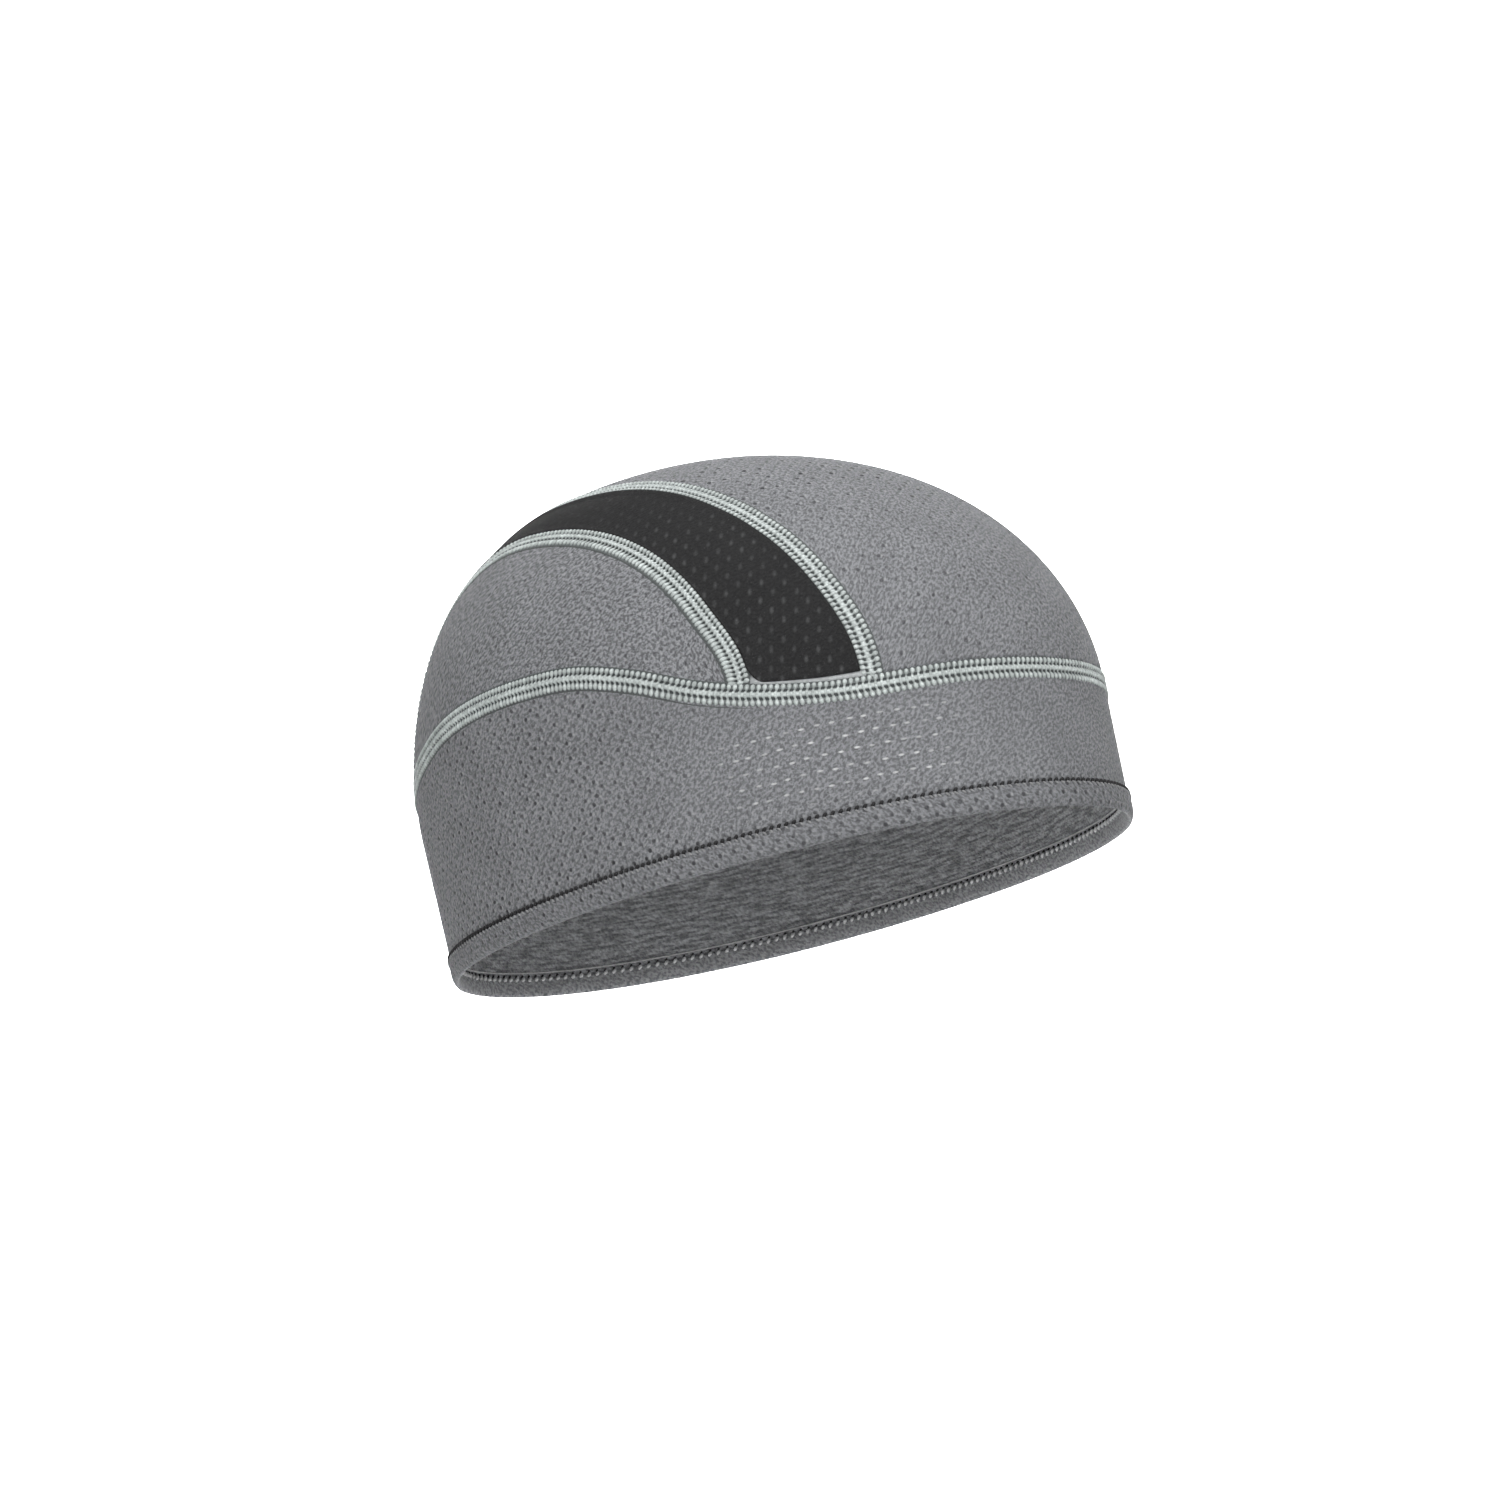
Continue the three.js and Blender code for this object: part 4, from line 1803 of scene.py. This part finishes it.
@dataclass
class StripPiping:
    """Narrow plain cloth edge that shows between a strip's foot and the band seam's upper stitches."""

    form: CapForm
    plan: SeamPlan
    finishes: Finishes
    side: Side
    low: float = 2.6
    high: float = 3.25
    widening: float = 1.1
    rise: float = 0.3
    depth: float = 0.5
    sink: float = 0.45
    sink_over: Pair = (3.4, 4.8)
    shade: float = 0.1
    steps: int = 36
    inset: float = 1.8
    corner: float = 3.5
    strip_reach: float = 2.75

    def ends(self) -> tuple[Array, Array]:
        """The edge's two ends on the cap, set in from the strip's seams.

        Returns:
            The inner and the outer end.
        """
        lines = [self.plan.clip(self.plan.strip_seam(edge, self.side), self.high) for edge in Edge]
        inner, outer = (line(np.array(0.0)) for line in lines)
        inward = unit(outer - inner) * self.inset
        return inner + inward, outer - inward

    def top(self, t: Array, length: float) -> Array:
        """Height of the edge's upper side over the band seam's middle line.

        Args:
            t: Shares of the way from the inner end to the outer one.
            length: Distance between the ends.

        Returns:
            Heights that follow the strip's sloping foot and its rounded corner.
        """
        left = (1 - t) * length + self.inset - self.strip_reach
        room = np.clip(self.corner - left, 0, self.corner)
        turned = self.corner - np.sqrt(self.corner**2 - room**2)
        return self.high + self.widening * (1 - t) + turned

    def build(self) -> list[Thing]:
        """Make the edge at the strip's forehead end.

        Returns:
            The edge alone.
        """
        start, end = self.ends()
        t = np.linspace(0.0, 1.0, self.steps + 1)
        first, last = float(self.form.angle_of(start)), float(self.form.angle_of(end))
        foot, _, up, normal = self.plan.frame_on(self.plan.band_seam, first + (last - first) * t)
        share, lift = np.array(PIPING_SECTION).T
        top = self.top(t, float(np.linalg.norm(end - start)))[:, None]
        across = self.low + (top - self.low) * share
        rise = self.rise * lift - self.sink * smooth(across, *self.sink_over)
        face = self.form.onto(foot[:, None] + across[..., None] * up[:, None])
        face = face + rise[..., None] * normal[:, None]
        points = np.concatenate([face, (face - self.depth * normal[:, None])[:, ::-1]], axis=1)
        size = points.shape[1]
        quads = np.concatenate([grid_quads(len(t), size, True), FlatSeam.end_quads(len(t), size)])
        shade = {"shade_and_tone": np.full(len(t) * size, self.shade)}
        parts = MeshParts(points, quads[:, ::-1], np.zeros(len(quads)), shade)
        thing = parts.build(f"strip_{self.side.name.lower()}_piping", self.form, [self.finishes.piping])
        return [settle(thing, ())]


HEM_SECTION = (
    ProfilePoint(across=6.30, rise=-0.55),
    ProfilePoint(across=6.02, rise=0.10),
    ProfilePoint(across=5.50, rise=0.48),
    ProfilePoint(across=4.70, rise=0.64),
    ProfilePoint(across=3.90, rise=0.68),
    ProfilePoint(across=3.10, rise=0.68),
    ProfilePoint(across=2.30, rise=0.66),
    ProfilePoint(across=1.40, rise=0.58),
    ProfilePoint(across=0.60, rise=0.36),
    ProfilePoint(across=-0.05, rise=0.00),
    ProfilePoint(across=-0.28, rise=-0.48),
    ProfilePoint(across=-0.05, rise=-0.98),
    ProfilePoint(across=0.60, rise=-1.34),
    ProfilePoint(across=1.50, rise=-1.52),
    ProfilePoint(across=2.60, rise=-1.60),
    ProfilePoint(across=3.60, rise=-1.58),
    ProfilePoint(across=4.50, rise=-1.46),
    ProfilePoint(across=5.05, rise=-1.22),
    ProfilePoint(across=5.10, rise=-1.00),
    ProfilePoint(across=3.40, rise=-0.98),
    ProfilePoint(across=1.60, rise=-0.90),
    ProfilePoint(across=0.80, rise=-0.48),
    ProfilePoint(across=1.60, rise=-0.06),
    ProfilePoint(across=3.60, rise=0.02),
    ProfilePoint(across=5.30, rise=-0.12),
    ProfilePoint(across=5.90, rise=-0.62),
)

ROPE_COURSE = (
    ProfilePoint(across=6.00, rise=0.16),
    ProfilePoint(across=6.20, rise=0.34),
    ProfilePoint(across=6.52, rise=0.34),
    ProfilePoint(across=6.78, rise=0.14),
)

WHIP_COURSE = (
    ProfilePoint(across=6.00, rise=0.36),
    ProfilePoint(across=5.72, rise=0.56),
    ProfilePoint(across=5.40, rise=0.62),
    ProfilePoint(across=5.10, rise=0.44),
)

LADDER_COURSE = (
    ProfilePoint(across=5.05, rise=-1.35),
    ProfilePoint(across=4.82, rise=-1.74),
    ProfilePoint(across=4.42, rise=-1.82),
    ProfilePoint(across=4.10, rise=-1.56),
)

NOTCH_COURSE = (
    ProfilePoint(across=5.80, rise=-1.10),
    ProfilePoint(across=5.62, rise=-1.40),
    ProfilePoint(across=5.34, rise=-1.44),
    ProfilePoint(across=5.14, rise=-1.25),
)


@dataclass(frozen=True)
class StitchRow:
    """One row of small stitches round the rim."""

    name: str
    course: tuple[ProfilePoint, ...]
    pitch: float
    lean: float
    radius: float
    finish: str


# The rope and notch rows take the near-black groove finish: painted shade of the hem's grooves.
STITCH_ROWS = (
    StitchRow("hem_rope_stitches", ROPE_COURSE, pitch=1.95, lean=1.0, radius=0.5, finish="groove"),
    StitchRow("hem_whip_stitches", WHIP_COURSE, pitch=1.95, lean=0.8, radius=0.28, finish="whip"),
    StitchRow("hem_ladder_stitches", LADDER_COURSE, pitch=2.45, lean=1.0, radius=0.52, finish="ladder"),
    StitchRow("hem_notch_stitches", NOTCH_COURSE, pitch=2.45, lean=0.6, radius=0.3, finish="groove"),
)

THREAD_TAPER = (0.6, 1.0, 1.0, 0.6)


@dataclass
class Hem:
    """Folded hem: outside a rope of stitches dark with painted shade, inside ladder stitches and a cord."""

    form: CapForm
    finishes: Finishes
    perimeter: float = 555.0
    eyelets: int = 138
    steps_each: int = 5
    eyelet_row: int = 5
    cord_height: float = 6.5
    cord_rise: float = -1.22
    cord_radius: float = 0.24
    cord_steps: int = 420
    cord_sides: int = 6
    cord_shade: float = 0.3
    stitch_sides: int = 6
    pit_depth: float = 0.4
    turned_in: float = -0.4
    deep_inside: float = -0.9
    inner_open: float = 0.2
    outer_open: float = 0.8
    cut: Cut = Cut(0.530, 0.0125, 0.00662)

    def build(self) -> list[Thing]:
        """Make the fold, its rows of stitches and the cord inside.

        Returns:
            The fold, the rows and the cord.
        """
        fold = self.fold()
        trim = [self.stitches(row) for row in STITCH_ROWS] + [self.cord()]
        return [fold, *trim]

    def fold(self) -> Thing:
        """The folded cloth, with one row of eyelets round its middle.

        Returns:
            The fold.
        """
        columns = self.eyelets * self.steps_each
        angles = np.linspace(-np.pi, np.pi, columns, endpoint=False)
        height = np.array([q.across for q in HEM_SECTION])[:, None]
        rise = np.array([q.rise for q in HEM_SECTION])[:, None]
        grid = self.form.wall(angles[None], height + 0 * angles)
        pit = np.zeros(grid.shape[:2])
        pit[self.eyelet_row, :: self.steps_each] = 1
        points = grid + self.form.normal(grid) * (rise - self.pit_depth * pit)[..., None]
        rows = len(HEM_SECTION)
        quads = grid_quads(rows + 1, columns, True) % (rows * columns)
        u = np.arange(columns + 1) / self.steps_each * HEM_LATTICE.along
        up, out = (np.diff(value[:, 0], append=value[0, 0]) for value in (height, rise))
        v = np.concatenate([[0.0], np.cumsum(np.hypot(up, out))])
        u, v = np.broadcast_arrays(u[None], (v - v[self.eyelet_row])[:, None])
        opened = np.where(rise < self.deep_inside, self.inner_open, self.outer_open)
        parts = MeshParts(
            points=points,
            quads=quads,
            face_slot=np.repeat(np.where(rise[:, 0] < self.turned_in, 1, 0), columns),
            values={"eyelet": np.repeat(opened, columns), "highlight_and_speck": np.zeros(pit.size)},
            cloth=KnitCloth.corner_map(u, v),
        )
        materials = [self.finishes.hem, self.finishes.hem_inside]
        return settle(parts.build("hem_fold", self.form, materials), ("hem",))

    def stitches(self, row: StitchRow) -> Thing:
        """Make one row of small stitches round the rim.

        Args:
            row: The row's sizes and finish.

        Returns:
            The row.
        """
        count = round(self.perimeter / row.pitch)
        start = np.arange(count) * 2 * np.pi / count
        lean = np.linspace(0, row.lean / self.perimeter * 2 * np.pi, len(row.course))
        height = np.array([q.across for q in row.course])
        grid = self.form.wall(start[:, None] + lean, height + 0 * start[:, None])
        normal = self.form.normal(grid)
        centre = grid + normal * np.array([q.rise for q in row.course])[:, None]
        thread = [(row.radius * share, 0.0) for share in THREAD_TAPER]
        face = 1 if row.course[0].rise > self.turned_in else -1
        # Rows inside take the inward normal, so that their painted shade falls on the side toward the cloth.
        parts = tubes(centre, normal[:, 0] * face, thread, self.stitch_sides)
        thing = parts.build(row.name, self.form, [getattr(self.finishes, row.finish)])
        return settle(thing, ())

    def cord(self) -> Thing:
        """Thin thread that runs round inside, over the ladder stitches.

        Returns:
            The thread.
        """
        count, sides = self.cord_steps, self.cord_sides
        angles = np.arange(count) * 2 * np.pi / count
        turn = np.arange(sides) * 2 * np.pi / sides
        height = self.cord_height + self.cord_radius * np.cos(turn)
        grid = self.form.wall(angles[:, None], height[None] + 0 * angles[:, None])
        rise = self.cord_rise + self.cord_radius * np.sin(turn)
        points = grid + self.form.normal(grid) * rise[None, :, None]
        quads = grid_quads(count + 1, sides, True) % (count * sides)
        shade = {"shade_and_tone": np.full(count * sides, self.cord_shade)}
        parts = MeshParts(points, quads[:, ::-1], np.zeros(len(quads)), shade)
        return settle(parts.build("hem_cord", self.form, [self.finishes.ladder]), ())


@dataclass(frozen=True)
class Lamp:
    """One square lamp and what it is turned to."""

    name: str
    place: Triple
    size: float
    power: float
    aim: Triple = (0.0, 0.0, 0.04)
    spread_deg: float = 180.0


LAMPS = (
    Lamp(name="key_light", place=(-0.35, -0.75, 1.35), size=1.0, power=7.0),
    Lamp(name="side_light", place=(-0.95, -0.85, 0.7), size=0.7, power=8.8),
    Lamp(name="top_light", place=(-0.3, 0.1, 1.45), size=1.2, power=14.4),
    Lamp(name="mouth_light", place=(-0.76, -0.99, -0.29), size=0.5, power=2.0),
    Lamp("backdrop_light", (0.3, 0.24, 0.75), 0.5, 26.0, aim=(1.2, 0.95, 0.1), spread_deg=110.0),
)


@dataclass(frozen=True)
class Studio:
    """Floor, backdrop, lights and camera."""

    floor_z: float = -0.30
    floor_size: float = 6.0
    bend_from: float = 0.6
    bend: float = 0.8
    bend_steps: int = 12
    white: Triple = (0.9, 0.9, 0.9)
    surround: float = 0.21
    camera_at: Triple = (-0.94718, -0.74242, 0.00299)
    camera_heading_deg: float = -51.41
    camera_tilt_deg: float = 1.828
    lens: float = 108.34
    sensor: float = 36.0
    nearest: float = 0.05

    def build(self) -> None:
        """Set up everything round the cap."""
        self.camera()
        self.floor()
        self.world()
        for lamp in LAMPS:
            self.lamp(lamp)
        bpy.context.scene.view_settings.view_transform = "Standard"

    def floor(self) -> None:
        """A pale floor that curves up behind into a backdrop."""
        half = self.floor_size / 2
        turns = np.linspace(0, np.pi / 2, self.bend_steps + 1)
        curve = self.bend_from + self.bend * np.sin(turns)
        along = np.concatenate([[-half], curve, [self.bend_from + self.bend]])
        rise = np.concatenate([[0.0], self.bend * (1 - np.cos(turns)), [half]])
        heading = math.radians(self.camera_heading_deg)
        away = Vector((-math.sin(heading), math.cos(heading), 0.0))
        right = Vector((math.cos(heading), math.sin(heading), 0.0))
        points = [
            away * float(a) + right * side + Vector((0, 0, self.floor_z + float(r)))
            for a, r in zip(along, rise)
            for side in (-half, half)
        ]
        faces = [(2 * i, 2 * i + 1, 2 * i + 3, 2 * i + 2) for i in range(len(along) - 1)]
        mesh = bpy.data.meshes.new("studio_floor")
        mesh.from_pydata([tuple(p) for p in points], [], faces)
        mesh.polygons.foreach_set("use_smooth", [True] * len(faces))
        mesh.materials.append(PlainFinish("studio_white", self.white).material())
        floor = bpy.data.objects.new("studio_floor", mesh)
        bpy.context.scene.collection.objects.link(floor)

    def world(self) -> None:
        """Even white surround."""
        world = bpy.data.worlds.new("studio_surround")
        world.use_nodes = True
        light = world.node_tree.nodes["Background"]
        light.inputs["Color"].default_value = (1, 1, 1, 1)
        light.inputs["Strength"].default_value = self.surround
        bpy.context.scene.world = world

    def lamp(self, lamp: Lamp) -> None:
        """Put up one lamp and turn it to its aim.

        Args:
            lamp: The lamp's sizes.
        """
        data = bpy.data.lights.new(lamp.name, "AREA")
        data.size = lamp.size
        data.energy = lamp.power
        data.spread = math.radians(lamp.spread_deg)
        made = bpy.data.objects.new(lamp.name, data)
        made.location = lamp.place
        made.rotation_mode = "QUATERNION"
        made.rotation_quaternion = (Vector(lamp.aim) - Vector(lamp.place)).to_track_quat("-Z", "Y")
        bpy.context.scene.collection.objects.link(made)

    def camera(self) -> None:
        """Level view from the wearer's right front, tilted slightly up."""
        data = bpy.data.cameras.new("camera")
        data.sensor_width = self.sensor
        data.lens = self.lens
        data.clip_start = self.nearest
        camera = bpy.data.objects.new("camera", data)
        heading, tilt = math.radians(self.camera_heading_deg), math.radians(self.camera_tilt_deg)
        turn = Matrix.Rotation(heading, 4, "Z") @ Matrix.Rotation(math.pi / 2 + tilt, 4, "X")
        camera.matrix_world = Matrix.Translation(self.camera_at) @ turn
        bpy.context.scene.collection.objects.link(camera)
        bpy.context.scene.camera = camera


def line_length(line: Line, start: float, end: float) -> float:
    """Length of a line between two places on it."""
    points = line(np.linspace(start, end, LENGTH_STEPS))
    return float(np.linalg.norm(np.diff(points, axis=0), axis=-1).sum())


def side_pieces(form: CapForm, plan: SeamPlan, finishes: Finishes, side: Side) -> list[Piece]:
    """The strip, its piping, the side panel and their seams on one side of the cap.

    Args:
        form: The cap's form.
        plan: Where the seams run.
        finishes: The cap's materials.
        side: The wearer's side.

    Returns:
        The pieces in the order in which they are built.
    """
    where = side.name.lower()
    seams = (f"strip_inner_seam_{where}", f"strip_outer_seam_{where}")
    strip = MeshStrip(
        form, plan, finishes, f"strip_{where}_mesh", f"strip_{where}",
        cut=Cut(0.245, 0.020, 0.0044), lattice=STRIP_LATTICE, rests_on=seams, side=side,
    )
    panel = SidePanel(
        form, plan, finishes, f"side_panel_{where}_knit", f"side_panel_{where}",
        cut=Cut(0.125, 0.047, 0.0038), lattice=SIDE_LATTICE, rests_on=(seams[1], "band_seam"), side=side,
    )
    pieces = [strip, StripPiping(form, plan, finishes, side), panel]
    for edge, name in zip(Edge, seams):
        line = plan.clip(plan.strip_seam(edge, side), SEAM_CLEARANCE)
        widths = SeamWidths.beside_strip(edge, side)
        length = line_length(line, 0.0, 1.0)
        pieces.append(FlatSeam(form, plan, finishes, name, line, length, False, widths))
    return pieces


def main() -> None:
    """Build the studio, then the cap piece by piece, and report each piece."""
    logging.basicConfig(level=logging.INFO, format="%(message)s")
    form = CapForm()
    plan = SeamPlan(form)
    Studio().build()
    finishes = Finishes.make()
    band = Band(
        form, plan, finishes, "band_knit", "band",
        cut=Cut(0.53, 0.05, 0.022), lattice=BAND_LATTICE, rests_on=("hem", "band_seam"),
    )
    top_panel = TopPanel(
        form, plan, finishes, "top_panel_knit", "top_panel",
        cut=Cut(0.1, 0.24, 0.0225), lattice=TOP_LATTICE, rests_on=("band_seam",),
    )
    around = line_length(plan.band_seam, 0.0, 2 * math.pi)
    widths = SeamWidths(left=2.75, right=3.1, groove=1.04)
    seam = FlatSeam(form, plan, finishes, "band_seam", plan.band_seam, around, True, widths)
    pieces: list[Piece] = [Hem(form, finishes), band, top_panel, seam]
    for side in Side:
        pieces += side_pieces(form, plan, finishes, side)
    for piece in pieces:
        for thing in piece.build():
            mesh = thing.data
            LOG.info("%s: %d points, %d faces", thing.name, len(mesh.vertices), len(mesh.polygons))


if __name__ == "__main__":
    main()
